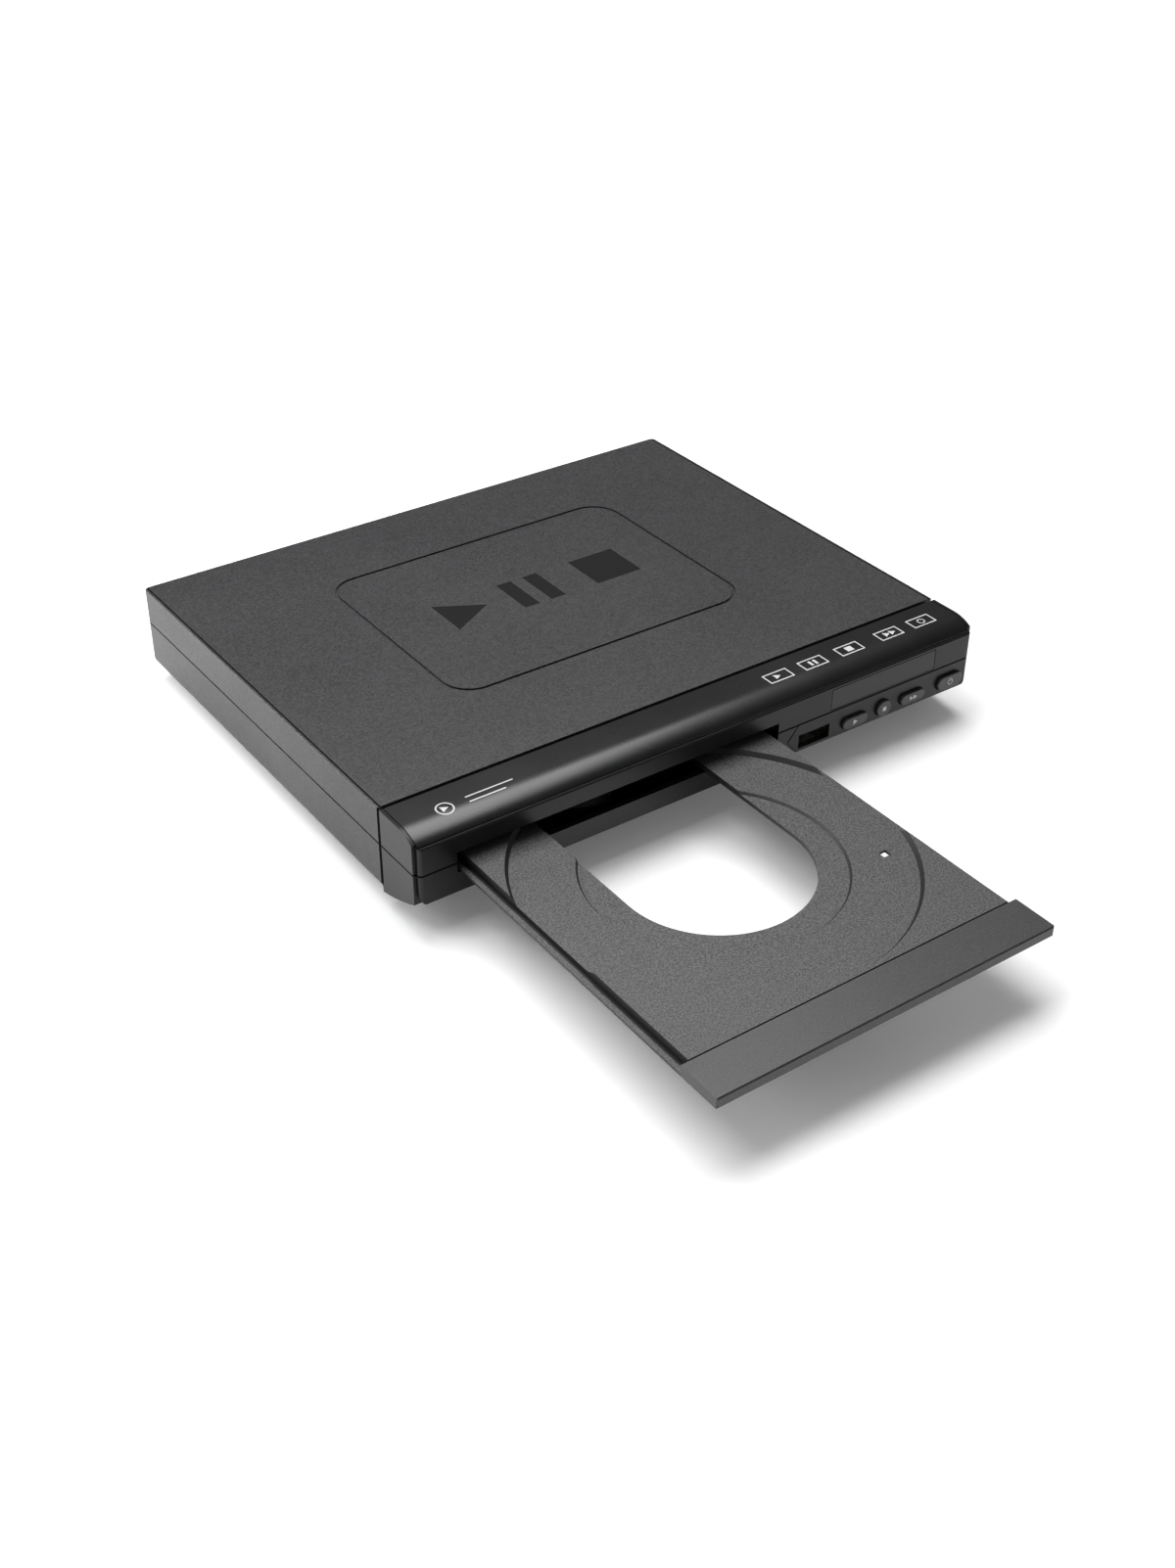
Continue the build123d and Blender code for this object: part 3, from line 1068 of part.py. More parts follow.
BOARD_Z = 10.0
BOARD_THICK = 1.4
board_top = BOARD_Z + BOARD_THICK
with BuildPart() as main_board:
    brick(level(BOARD_Z), (36.2, 72.0), (70.0, 181.0), BOARD_THICK)
    with BuildSketch(level(floor_z)):
        with Locations(*[(x, d) for x in (39.0, 69.0) for d in (74.0, 150.0)]):
            Circle(2.2)
    extrude(amount=BOARD_Z - floor_z)
finish(main_board, "main_board")

with BuildPart() as main_board_parts:
    brick(level(board_top), (44.0, 64.0), (104.0, 124.0), 1.6)
    brick(level(board_top), (40.0, 50.0), (132.0, 150.0), 1.2)
    brick(level(board_top), (56.0, 68.0), (134.0, 142.0), 1.2)
    brick(level(board_top), (41.0, 67.0), (73.0, 79.0), 6.0)
    for cap_x, cap_depth, tall in ((40.0, 94.0, 9.0), (47.0, 92.0, 7.0), (66.0, 92.0, 9.0),
                                   (54.0, 158.0, 7.0), (66.0, 156.0, 7.0)):
        drum(level(board_top), (cap_x, cap_depth), 2.6, tall)
finish(main_board_parts, "main_board_parts")

with BuildPart() as power_board:
    brick(level(BOARD_Z), (76.0, 100.6), (66.0, 166.0), BOARD_THICK)
    with BuildSketch(level(floor_z)):
        with Locations(*[(x, d) for x in (79.0, 98.0) for d in (70.0, 162.0)]):
            Circle(2.2)
    extrude(amount=BOARD_Z - floor_z)
finish(power_board, "power_board")

with BuildPart() as transformer:
    brick(level(board_top), (79.0, 98.0), (104.0, 122.0), 3.0)
    brick(level(board_top + 3), (82.0, 95.0), (104.0, 122.0), 9.0)
    brick(level(board_top + 12), (79.0, 98.0), (104.0, 122.0), 3.0)
    brick(level(board_top + 1), (78.0, 99.0), (109.0, 117.0), 14.0)
finish(transformer, "transformer")

with BuildPart() as power_capacitors:
    drum(level(board_top), (88.0, 140.0), 6.5, 16.0)
    drum(level(board_top), (82.0, 90.0), 4.0, 12.0)
    drum(level(board_top), (93.0, 90.0), 4.0, 12.0)
    fillet(power_capacitors.edges().filter_by(GeomType.CIRCLE).group_by(Axis.Z)[1:],
           radius=0.6)
finish(power_capacitors, "power_capacitors")

with BuildPart() as heat_sink:
    brick(level(board_top), (78.0, 80.0), (76.0, 84.0), 15.0)
    for fin in range(4):
        brick(level(board_top + 3), (80.0, 86.0), (76.0 + 2.2 * fin, 77.2 + 2.2 * fin), 12.0)
finish(heat_sink, "heat_sink")

with BuildPart() as flat_cable:
    cable_x = 104.0
    brick(level(24.0), (cable_x - 30, cable_x - 20), (FRONT_BOARD_DEPTH + 1.2, 58.0), 0.5)
    brick(upright(58.5, x=cable_x - 25), (-5, 5), (13.0, 24.5), 0.5)
finish(flat_cable, "flat_cable")

JACK_FRONT = DEPTH - WALL
with BuildPart() as av_jack_block:
    brick(level(board_top), (34.6, 75.4), (JACK_FRONT - 10.0, JACK_FRONT), 8.4)
    with BuildSketch(upright(DEPTH + REAR_OUT - 0.6)) as wells:
        with Locations(*[(x, JACK_Z) for x in JACK_XS]):
            Circle(JACK_WELL_R)
    extrude(wells.sketch, amount=REAR_OUT + WALL - 0.6)
    with BuildSketch(upright(DEPTH + REAR_OUT)) as holes:
        with Locations(*[(x, JACK_Z) for x in JACK_XS]):
            Circle(1.65)
    extrude(holes.sketch, amount=REAR_OUT + WALL + 4, mode=Mode.SUBTRACT)
finish(av_jack_block, "av_jack_block")

with BuildPart() as av_jack_barrels:
    with BuildSketch(upright(DEPTH + REAR_OUT)) as barrels:
        with Locations(*[(x, JACK_Z) for x in JACK_XS]):
            Circle(JACK_R)
            Circle(JACK_WELL_R, mode=Mode.SUBTRACT)
    extrude(barrels.sketch, amount=REAR_OUT)
finish(av_jack_barrels, "av_jack_barrels")

INLET_BACK = DEPTH + 1.7
with BuildPart() as mains_inlet:
    brick(upright(INLET_BACK, x=INLET_X), (-12.0, 12.0),
          (INLET_Z - 7.4, INLET_Z + 7.4), 1.7)
    brick(upright(INLET_BACK, x=INLET_X), (-10.2, 10.2),
          (INLET_Z - 6.2, INLET_Z + 6.2), 18.0)
    corners = mains_inlet.edges().filter_by(Axis.Y).sort_by(Axis.Z)
    fillet(corners[:2] + corners[-2:], radius=1.5)
    pill(upright(INLET_BACK, x=INLET_X), (0, INLET_Z), PIN_SPREAD + 7.2, 7.2, 13.0,
         mode=Mode.SUBTRACT)
finish(mains_inlet, "mains_inlet")

with BuildPart() as mains_pins:
    with BuildSketch(upright(INLET_BACK - 2.0, x=INLET_X)):
        with Locations((-PIN_SPREAD / 2, INLET_Z), (PIN_SPREAD / 2, INLET_Z)):
            Circle(1.15)
    extrude(amount=11.0)
finish(mains_pins, "mains_pins")
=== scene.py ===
# %% [markdown]
# # A compact disc player with its tray out
#
# The player is a low black box: a textured cover, a satin front with a glossy cap rolled over
# its top edge, and a grey tray that has slid out for a disc. Its parts come from a CAD model
# that is already in place, in metres. This notebook gives each part the finish of the real
# one, adds the printed marks and the small fittings that CAD left out, and lights it all like
# a catalogue photograph.

# %% Load the CAD parts
from math import cos, pi, radians, sin, sqrt

import bmesh
import bpy
from mathutils import Matrix, Vector


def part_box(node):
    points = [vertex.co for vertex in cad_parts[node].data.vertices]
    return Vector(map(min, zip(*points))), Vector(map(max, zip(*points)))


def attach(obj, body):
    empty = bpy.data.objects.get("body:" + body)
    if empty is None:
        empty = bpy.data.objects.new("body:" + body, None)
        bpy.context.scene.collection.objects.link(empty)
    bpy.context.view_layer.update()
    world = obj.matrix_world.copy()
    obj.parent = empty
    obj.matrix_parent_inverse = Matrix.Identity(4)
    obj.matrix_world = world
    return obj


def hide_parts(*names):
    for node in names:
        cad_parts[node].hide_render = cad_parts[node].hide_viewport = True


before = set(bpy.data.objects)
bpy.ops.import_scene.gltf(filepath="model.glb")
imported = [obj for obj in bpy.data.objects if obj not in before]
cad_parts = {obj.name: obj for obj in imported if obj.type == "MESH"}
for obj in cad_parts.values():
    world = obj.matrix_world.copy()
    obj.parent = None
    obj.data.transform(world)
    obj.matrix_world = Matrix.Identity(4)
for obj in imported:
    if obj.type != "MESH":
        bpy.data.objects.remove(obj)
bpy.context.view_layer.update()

MM = 0.001
face_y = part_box("lower_front")[0].y


def at(x, depth, z):
    """A point from millimetres: across, behind the front face, and up."""
    return Vector((x * MM, face_y + depth * MM, z * MM))


# %% [markdown]
# ## Colours and shader nodes
#
# A hex code such as #3a3a3c is written for screens, in sRGB, while a shader counts in linear
# light. One function turns the first into the second. A second function adds a shader node,
# sets it up and wires its inputs, so that a material reads as a short list of nodes.

# %% Helpers for colours and nodes
def srgb(hex_code):
    """An sRGB hex colour as the linear numbers that a shader wants."""
    channels = [int(hex_code[i:i + 2], 16) / 255 for i in (1, 3, 5)]
    linear = [c / 12.92 if c <= 0.04045 else ((c + 0.055) / 1.055) ** 2.4 for c in channels]
    return (*linear, 1.0)


def add_node(tree, kind, inputs=(), **settings):
    """Adds a node. inputs maps a socket's name or number to a value or another node's socket."""
    node = tree.nodes.new(kind)
    for name, value in settings.items():
        setattr(node, name, value)
    for name, value in dict(inputs).items():
        if isinstance(value, bpy.types.NodeSocket):
            tree.links.new(value, node.inputs[name])
        else:
            node.inputs[name].default_value = value
    return node


def start_material(name):
    """A new material with an empty node tree, and the place of each point of the object."""
    material = bpy.data.materials.new(name)
    material.use_nodes = True
    tree = material.node_tree
    tree.nodes.clear()
    place = add_node(tree, "ShaderNodeTexCoord")
    return material, tree, place.outputs["Object"]


def end_material(tree, shader):
    """Sends a shader to the surface."""
    add_node(tree, "ShaderNodeOutputMaterial", {"Surface": shader.outputs[0]})


def finish_node(material, *names):
    """Gives a material to CAD parts, by name."""
    for name in names:
        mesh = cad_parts[name].data
        mesh.materials.clear()
        mesh.materials.append(material)
    print(material.name, "on", ", ".join(names))


# %% [markdown]
# ## Camera
#
# A catalogue shot of this kind is taken from the front left, about 33 degrees above the table,
# with a short telephoto lens. The camera's place and turn are those of the reference view. The
# three rows below say where the picture's right, down and depth point in the room.

# %% Camera
CAMERA_PLACE = (-0.32973, -0.42447, 0.36321)
RIGHT = Vector((0.8163189, -0.5775588, 0.0070205))
DOWN = Vector((-0.3232485, -0.4668834, -0.8231223))
FORWARD = Vector((0.4786793, 0.6696609, -0.5678207))

camera_data = bpy.data.cameras.new("camera")
camera_data.lens = 43.815
camera_data.sensor_width = 36.0
camera_data.clip_start = 0.01
camera = bpy.data.objects.new("camera", camera_data)
bpy.context.scene.collection.objects.link(camera)
turn = Matrix((RIGHT, -DOWN, -FORWARD)).transposed().to_4x4()
camera.matrix_world = Matrix.Translation(CAMERA_PLACE) @ turn
bpy.context.scene.camera = camera
print("Camera", round(camera.location.length, 3), "m from the player")

# %% [markdown]
# ## Table, room and lamps
#
# The player stands on a white table that runs up into a white background. Lamps alone would
# have to burn very bright to turn the table white, and the black plastic would turn grey with
# it. Instead the table's material adds a little glow that only the camera and mirror-like
# rays see: the picture's ground is white, and the player's shadow stays.

# %% Room
bpy.context.scene.view_settings.view_transform = "Standard"

world = bpy.data.worlds.new("studio_room")
bpy.context.scene.world = world
world.use_nodes = True
sky = world.node_tree
sky.nodes.clear()
ray = add_node(sky, "ShaderNodeLightPath")
direction = add_node(sky, "ShaderNodeTexCoord")
height = add_node(sky, "ShaderNodeSeparateXYZ", {0: direction.outputs["Generated"]})
# A mirror sees the white sweep near the horizon and the dim studio above it.
room_seen = add_node(sky, "ShaderNodeMapRange", {"Value": height.outputs["Z"], "From Min": 0.10,
                                                 "From Max": 0.42, "To Min": 0.8, "To Max": 0.10})
not_camera = add_node(sky, "ShaderNodeMix", {"Factor": ray.outputs["Is Glossy Ray"], 2: 0.3,
                                             3: room_seen.outputs["Result"]}, data_type="FLOAT")
strength = add_node(sky, "ShaderNodeMix", {"Factor": ray.outputs["Is Camera Ray"],
                                           2: not_camera.outputs[0], 3: 1.0}, data_type="FLOAT")
room_light = add_node(sky, "ShaderNodeBackground", {"Strength": strength.outputs[0]})
add_node(sky, "ShaderNodeOutputWorld", {"Surface": room_light.outputs[0]})

# %% Table
def flat_square(name, half, z=0.0):
    """A square of two half widths, flat at a height."""
    mesh = bpy.data.meshes.new(name)
    corners = [(-half, -half, z), (half, -half, z), (half, half, z), (-half, half, z)]
    mesh.from_pydata(corners, [], [(0, 1, 2, 3)])
    square = bpy.data.objects.new(name, mesh)
    bpy.context.scene.collection.objects.link(square)
    return square


paint, tree, place = start_material("matt_white_table_paint")
ray = add_node(tree, "ShaderNodeLightPath")
mirror = add_node(tree, "ShaderNodeMath", {0: ray.outputs["Is Glossy Ray"],
                                           1: ray.outputs["Is Transmission Ray"]},
                  operation="MAXIMUM")
seen = add_node(tree, "ShaderNodeMath", {0: mirror.outputs[0], 1: ray.outputs["Is Camera Ray"]},
                operation="MAXIMUM")
matt = add_node(tree, "ShaderNodeBsdfDiffuse", {"Color": srgb("#f6f6f6")})
glow = add_node(tree, "ShaderNodeEmission", {"Color": (1, 1, 1, 1)})
# The glow grows away from the player, where the lamps fall off.
reach = add_node(tree, "ShaderNodeVectorMath", {0: place}, operation="LENGTH")
far_glow = add_node(tree, "ShaderNodeMapRange", {"Value": reach.outputs["Value"], "From Min": 0.25,
                                                 "From Max": 0.8, "To Min": 0.1, "To Max": 0.8})
lift = add_node(tree, "ShaderNodeMath", {0: seen.outputs[0], 1: far_glow.outputs["Result"]},
                operation="MULTIPLY")
tree.links.new(lift.outputs[0], glow.inputs["Strength"])
both = add_node(tree, "ShaderNodeAddShader", {0: matt.outputs[0], 1: glow.outputs[0]})
end_material(tree, both)
table = flat_square("table", 4.0)
table.data.materials.append(paint)

# %% [markdown]
# Black plastic has almost no colour of its own to show, so its form is drawn by what it
# reflects. A wide soft box overhead lights the top and draws the shadow under the tray. A small
# one above the left side gives the cap its pale patch. A low one at the back left rakes along
# the side wall and lifts it out of the shadow.

# %% Lamps
def soft_lamp(name, place, target, size, watts):
    """A rectangular soft box that looks at a target; size is its width and height in metres."""
    data = bpy.data.lights.new(name, "AREA")
    data.shape = "RECTANGLE"
    data.size, data.size_y = size
    data.energy = watts
    lamp = bpy.data.objects.new(name, data)
    bpy.context.scene.collection.objects.link(lamp)
    aim = (Vector(target) - Vector(place)).to_track_quat("-Z", "Y")
    lamp.matrix_world = Matrix.Translation(place) @ aim.to_matrix().to_4x4()


soft_lamp("overhead_box", (0.10, 0.34, 1.0), (0, 0, 0), (0.9, 0.7), 12.5)
soft_lamp("upper_left_box", (-0.42, 0.06, 0.70), (-0.10, -0.02, 0), (0.3, 0.3), 2.0)
soft_lamp("back_left_box", (-0.46, 0.42, 0.20), (-0.14, 0.14, 0), (0.35, 0.2), 2.4)

# %% [markdown]
# ## Moulded plastics
#
# Most of the player is ABS, an injection-moulded plastic. The steel mould is given its texture
# by spark erosion, and every part that comes out of it carries the same fine grain. A smooth
# mould gives a satin or a polished face instead. One function makes them all: a dark body
# colour, a grain of a real size that shifts tone and roughness a little, and a bump of the
# same grain.

# %% Moulded plastic
CLOUD_MM = 45    # size of the faint patches that flow marks leave on a large moulding
SHADED_BELOW_Z = 20.5    # below this height, in millimetres, the tray's channel floors are coloured dark as painted shade


def moulded_plastic(name, colour, grain_mm, rough, speckle=0.25, bump=0.35, bump_mm=0.05,
                    ior=1.53, painted_shade_colour=None):
    """A moulded plastic. With a painted shade colour, sides and low floors take that dark colour for
    their shade; only what looks up keeps the colour and the grain.
    """
    material, tree, place = start_material(name)
    grain = add_node(tree, "ShaderNodeTexNoise", {"Vector": place, "Scale": 1 / (grain_mm * MM),
                                                  "Detail": 2.0, "Roughness": 0.6})
    cloud = add_node(tree, "ShaderNodeTexNoise", {"Vector": place, "Scale": 1 / (CLOUD_MM * MM),
                                                  "Detail": 2.0})
    body = Vector(srgb(colour)[:3])
    tones = add_node(tree, "ShaderNodeValToRGB", {"Fac": grain.outputs["Fac"]})
    low, high = tones.color_ramp.elements
    low.position, high.position = 0.36, 0.68
    low.color = (*(body * (1 - speckle)), 1)
    high.color = (*(body * (1 + speckle)), 1)
    base = tones.outputs["Color"]
    blotch = add_node(tree, "ShaderNodeMapRange", {"Value": cloud.outputs["Fac"], "From Min": 0.3,
                                                   "From Max": 0.7, "To Min": rough - 0.03,
                                                   "To Max": rough + 0.03})
    height = grain.outputs["Fac"]
    # Painted shade: faces that do not look up, and floors below the set height, are coloured dark
    # for the shade they lie in.
    if painted_shade_colour:
        normal = add_node(tree, "ShaderNodeTexCoord").outputs["Normal"]
        up = add_node(tree, "ShaderNodeSeparateXYZ", {0: normal}).outputs["Z"]
        level = add_node(tree, "ShaderNodeSeparateXYZ", {0: place}).outputs["Z"]
        facing = add_node(tree, "ShaderNodeMapRange", {"Value": up, "From Min": 0.6,
                                                       "From Max": 0.97})
        above = add_node(tree, "ShaderNodeMapRange", {"Value": level, "From Min": SHADED_BELOW_Z * MM,
                                                      "From Max": (SHADED_BELOW_Z + 0.1) * MM})
        coat = add_node(tree, "ShaderNodeMath", {0: facing.outputs["Result"],
                                                 1: above.outputs["Result"]}, operation="MULTIPLY")
        shade_painted_base = add_node(tree, "ShaderNodeMixRGB", {"Fac": coat.outputs[0],
                                                     "Color1": srgb(painted_shade_colour), "Color2": base})
        base = shade_painted_base.outputs["Color"]
        flat = add_node(tree, "ShaderNodeMix", {"Factor": coat.outputs[0], 2: 0.5,
                                                3: grain.outputs["Fac"]}, data_type="FLOAT")
        height = flat.outputs[0]
    relief = add_node(tree, "ShaderNodeBump", {"Height": height, "Strength": bump,
                                               "Distance": bump_mm * MM})
    shader = add_node(tree, "ShaderNodeBsdfPrincipled",
                      {"Base Color": base, "Roughness": blotch.outputs["Result"],
                       "Normal": relief.outputs["Normal"], "IOR": ior})
    end_material(tree, shader)
    return material


# Spark-eroded ABS: a dry black that looks grey because its grain catches light from all round
case_plastic = moulded_plastic("spark_textured_abs", "#242426", 0.7, 0.44, speckle=0.85, bump=1.0,
                               bump_mm=0.12)
finish_node(case_plastic, "top_cover", "bottom_shell")

# Satin ABS from a stoned mould: darker, with soft reflections and hardly any grain
front_plastic = moulded_plastic("satin_black_abs", "#141416", 0.3, 0.33, speckle=0.1, bump=0.08,
                                ior=1.35)
finish_node(front_plastic, "upper_front", "lower_front")

# Polished ABS: the cap's deep black, which mirrors the lamps with slightly soft edges
cap_plastic = moulded_plastic("polished_black_abs", "#0b0b0c", 2.0, 0.28, speckle=0.05,
                              bump=0.02, bump_mm=0.02)
finish_node(cap_plastic, "gloss_strip")

# Smoked acrylic: the window's black body lets only a lit display through
window_plastic = moulded_plastic("smoked_acrylic", "#0c0c0d", 3.0, 0.2, speckle=0.05,
                                 bump=0.02, bump_mm=0.02, ior=1.4)
finish_node(window_plastic, "display_window")

# The tray's top is coarse grey ABS. Painted shade: its sides and channel floors are coloured
# near-black for the shade that fills them
tray_plastic = moulded_plastic("coarse_grey_abs_with_painted_shade_sides", "#434344", 0.55, 0.5, speckle=0.75,
                               bump=0.6, bump_mm=0.12, painted_shade_colour="#08080a")
finish_node(tray_plastic, "disc_tray")
door_plastic = moulded_plastic("fine_textured_grey_abs", "#303031", 0.5, 0.38, speckle=0.45,
                               bump=0.5, bump_mm=0.06)
finish_node(door_plastic, "tray_door")

# Buttons: satin black, a shade lighter than the face they stand in
button_plastic = moulded_plastic("satin_button_abs", "#232325", 0.3, 0.34, speckle=0.1,
                                 bump=0.08)
finish_node(button_plastic, "play_button", "stop_button", "skip_button", "power_button")

# Inner mouldings: black polystyrene with a plain dull skin
inner_plastic = moulded_plastic("dull_black_polystyrene", "#111113", 0.5, 0.5)
finish_node(inner_plastic, "loader_frame", "traverse_frame", "clamper", "turntable",
            "pickup_base", "lens_holder")

# Socket insulator: a paler glass-filled nylon with a dry face
nylon = moulded_plastic("glass_filled_nylon", "#8d8d8a", 0.3, 0.55, speckle=0.15)
finish_node(nylon, "usb_tongue")

# Gears and the cam are acetal: a waxy natural white that needs no grease
gear_plastic = moulded_plastic("natural_acetal", "#d8d4c6", 0.8, 0.38, speckle=0.04, ior=1.48)
finish_node(gear_plastic, "motor_pulley", "belt_gear", "drive_gear", "cam_slider")

# Filled epoxy: the charcoal of switch bodies, chips and sockets, with a fine mottle
epoxy = moulded_plastic("filled_black_epoxy", "#1c1c1d", 0.25, 0.6, speckle=0.3, bump=0.5)
finish_node(epoxy, "tact_switches", "display_module", "main_board_parts", "mains_inlet")

# Rubber: no gloss at all, and a pebbled skin on the feet
rubber = moulded_plastic("pebbled_black_rubber", "#161616", 0.9, 0.8, speckle=0.2, bump=0.8,
                         bump_mm=0.15, ior=1.45)
finish_node(rubber, "rubber_feet")
soft_rubber = moulded_plastic("smooth_nitrile_rubber", "#1a1a1a", 0.4, 0.68, speckle=0.15)
finish_node(soft_rubber, "drive_belt", "dampers", "turntable_mat")

# Ferrite: a sintered ceramic, dark grey with open pores
ferrite = moulded_plastic("sintered_ferrite", "#2c2c2e", 0.35, 0.5, speckle=0.45, bump=0.9)
finish_node(ferrite, "clamper_magnet")

# %% [markdown]
# ## Metals
#
# Steel and brass parts are drawn, pressed or turned, and each way of working leaves marks that
# run with the tool. A noise texture gives these marks, stretched along one axis where the tool
# ran straight. They change the roughness and the tone a little, as real ones do.

# %% Metals
def worked_metal(name, colour, rough, marks_mm, stretch=(1, 1, 1), contrast=0.15):
    """A metal with tool marks of a size. A stretch under 1 draws them out along that axis."""
    material, tree, place = start_material(name)
    drawn = add_node(tree, "ShaderNodeVectorMath", {0: place, 1: stretch}, operation="MULTIPLY")
    marks = add_node(tree, "ShaderNodeTexNoise", {"Vector": drawn.outputs["Vector"],
                                                  "Scale": 1 / (marks_mm * MM), "Detail": 3.0})
    metal = Vector(srgb(colour)[:3])
    tones = add_node(tree, "ShaderNodeValToRGB", {"Fac": marks.outputs["Fac"]})
    tones.color_ramp.elements[0].color = (*(metal * (1 - contrast)), 1)
    tones.color_ramp.elements[1].color = (*(metal * (1 + contrast)), 1)
    polish = add_node(tree, "ShaderNodeMapRange", {"Value": marks.outputs["Fac"],
                                                   "To Min": rough - 0.08, "To Max": rough + 0.08})
    relief = add_node(tree, "ShaderNodeBump", {"Height": marks.outputs["Fac"], "Strength": 0.15,
                                               "Distance": 0.02 * MM})
    shader = add_node(tree, "ShaderNodeBsdfPrincipled",
                      {"Base Color": tones.outputs["Color"], "Metallic": 1.0,
                       "Roughness": polish.outputs["Result"], "Normal": relief.outputs["Normal"]})
    end_material(tree, shader)
    return material


# Zinc-plated steel: grey with a faint haze, on every screw
zinc = worked_metal("zinc_plated_steel", "#9b9b98", 0.38, 0.3)
finish_node(zinc, "case_screws", "loader_screws", "bridge_screws", "plate_screws")

# Nickel-plated brass: bright and slightly warm, on what a plug touches
nickel = worked_metal("nickel_plated_brass", "#c9c5bc", 0.2, 0.4, stretch=(1, 0.1, 1),
                      contrast=0.06)
finish_node(nickel, "usb_socket", "av_jack_barrels", "mains_pins")

# Ground steel: bright, with a mottle that is almost too fine to see
ground = worked_metal("ground_bearing_steel", "#b9bbbd", 0.16, 0.08, contrast=0.05)
finish_node(ground, "guide_rods", "lead_screw")

# Pressed galvanised sheet: dull, with marks along the rolling direction
sheet_metal = worked_metal("rolled_galvanised_sheet", "#a3a6a8", 0.42, 0.8, stretch=(1, 0.08, 1))
finish_node(sheet_metal, "traverse_plate", "clamp_bridge", "loading_motor", "spindle_motor",
            "sled_motor")

# Extruded aluminium: pale, with straight draw lines up the fins
extruded = worked_metal("extruded_aluminium", "#bfc1c3", 0.35, 0.3, stretch=(1, 1, 0.05))
finish_node(extruded, "heat_sink")

# %% [markdown]
# ## Electrical parts
#
# The boards are glass-epoxy laminate under a green solder mask, and the copper tracks show
# through it as paler lines. The rear sockets have coloured rings that tell a user which plug
# goes where. These finishes pick their colour by place, so one material serves a whole part.

# %% Electrical materials
def layered_plastic(name, colours, axis, edges_mm, rough):
    """Bands of colour along an axis, parted at edges in millimetres, with a fine mottle."""
    material, tree, place = start_material(name)
    along = add_node(tree, "ShaderNodeSeparateXYZ", {0: place}).outputs[axis]
    low, high = edges_mm[0] - 10, edges_mm[-1] + 10
    share = add_node(tree, "ShaderNodeMapRange", {"Value": along, "From Min": low * MM,
                                                  "From Max": high * MM})
    bands = add_node(tree, "ShaderNodeValToRGB", {"Fac": share.outputs["Result"]})
    bands.color_ramp.interpolation = "CONSTANT"
    bands.color_ramp.elements[0].color = srgb(colours[0])
    bands.color_ramp.elements[1].position = (edges_mm[0] - low) / (high - low)
    bands.color_ramp.elements[1].color = srgb(colours[1])
    for edge, colour in zip(edges_mm[1:], colours[2:]):
        band = bands.color_ramp.elements.new((edge - low) / (high - low))
        band.color = srgb(colour)
    grain = add_node(tree, "ShaderNodeTexNoise", {"Vector": place, "Scale": 1 / (0.4 * MM)})
    mottle = add_node(tree, "ShaderNodeMapRange", {"Value": grain.outputs["Fac"], "To Min": 0.85,
                                                   "To Max": 1.15})
    tinted = add_node(tree, "ShaderNodeVectorMath", {0: bands.outputs["Color"],
                                                     1: mottle.outputs["Result"]},
                      operation="MULTIPLY")
    relief = add_node(tree, "ShaderNodeBump", {"Height": grain.outputs["Fac"], "Strength": 0.2,
                                               "Distance": 0.03 * MM})
    shader = add_node(tree, "ShaderNodeBsdfPrincipled",
                      {"Base Color": tinted.outputs["Vector"], "Roughness": rough,
                       "Normal": relief.outputs["Normal"]})
    end_material(tree, shader)
    return material


# Socket block: yellow, white and red insulators by their place across the back
jack_colours = layered_plastic("coloured_socket_abs", ("#c9a516", "#d8d8d4", "#a51a16"), "X",
                               (48.0, 62.0), 0.35)
finish_node(jack_colours, "av_jack_block")

# Transformer: grey ferrite below and above a winding under yellow tape
winding = layered_plastic("taped_winding", ("#2b2b2d", "#b7962a", "#2b2b2d"), "Z",
                          (14.2, 23.6), 0.45)
finish_node(winding, "transformer")

# Capacitors: a dark blue shrink sleeve that ends below the aluminium top
sleeve = layered_plastic("shrink_sleeved_can", ("#131a33", "#131a33", "#b5b6b8"), "Z",
                         (12.0, 27.2), 0.3)
finish_node(sleeve, "power_capacitors")

# Flat cable: white polyester film over a row of tinned conductors, 1 mm apart. The wave texture
# repeats every 0.314 units at scale 1.
CONDUCTOR_MM = 1.0
film, tree, place = start_material("flat_cable_film")
stripes = add_node(tree, "ShaderNodeTexWave", {"Vector": place, "Scale": 0.314 / (CONDUCTOR_MM * MM),
                                               "Distortion": 0.3})
tones = add_node(tree, "ShaderNodeValToRGB", {"Fac": stripes.outputs["Fac"]})
tones.color_ramp.elements[0].color = srgb("#8f9192")
tones.color_ramp.elements[1].color = srgb("#deded8")
shader = add_node(tree, "ShaderNodeBsdfPrincipled", {"Base Color": tones.outputs["Color"],
                                                     "Roughness": 0.35})
end_material(tree, shader)
finish_node(film, "flat_cable")

# Circuit board: green solder mask, paler where copper lies under it
board, tree, place = start_material("green_glass_epoxy_laminate")
tracks = add_node(tree, "ShaderNodeTexBrick", {"Vector": place, "Scale": 1 / (6 * MM),
                                               "Mortar Size": 0.06,
                                               "Color1": srgb("#12391d"), "Color2": srgb("#16472a"),
                                               "Mortar": srgb("#2f7a48")})
weave = add_node(tree, "ShaderNodeTexNoise", {"Vector": place, "Scale": 1 / (0.5 * MM)})
relief = add_node(tree, "ShaderNodeBump", {"Height": weave.outputs["Fac"], "Strength": 0.2,
                                           "Distance": 0.02 * MM})
shader = add_node(tree, "ShaderNodeBsdfPrincipled", {"Base Color": tracks.outputs["Color"],
                                                     "Roughness": 0.3,
                                                     "Normal": relief.outputs["Normal"]})
end_material(tree, shader)
finish_node(board, "front_board", "main_board", "power_board")

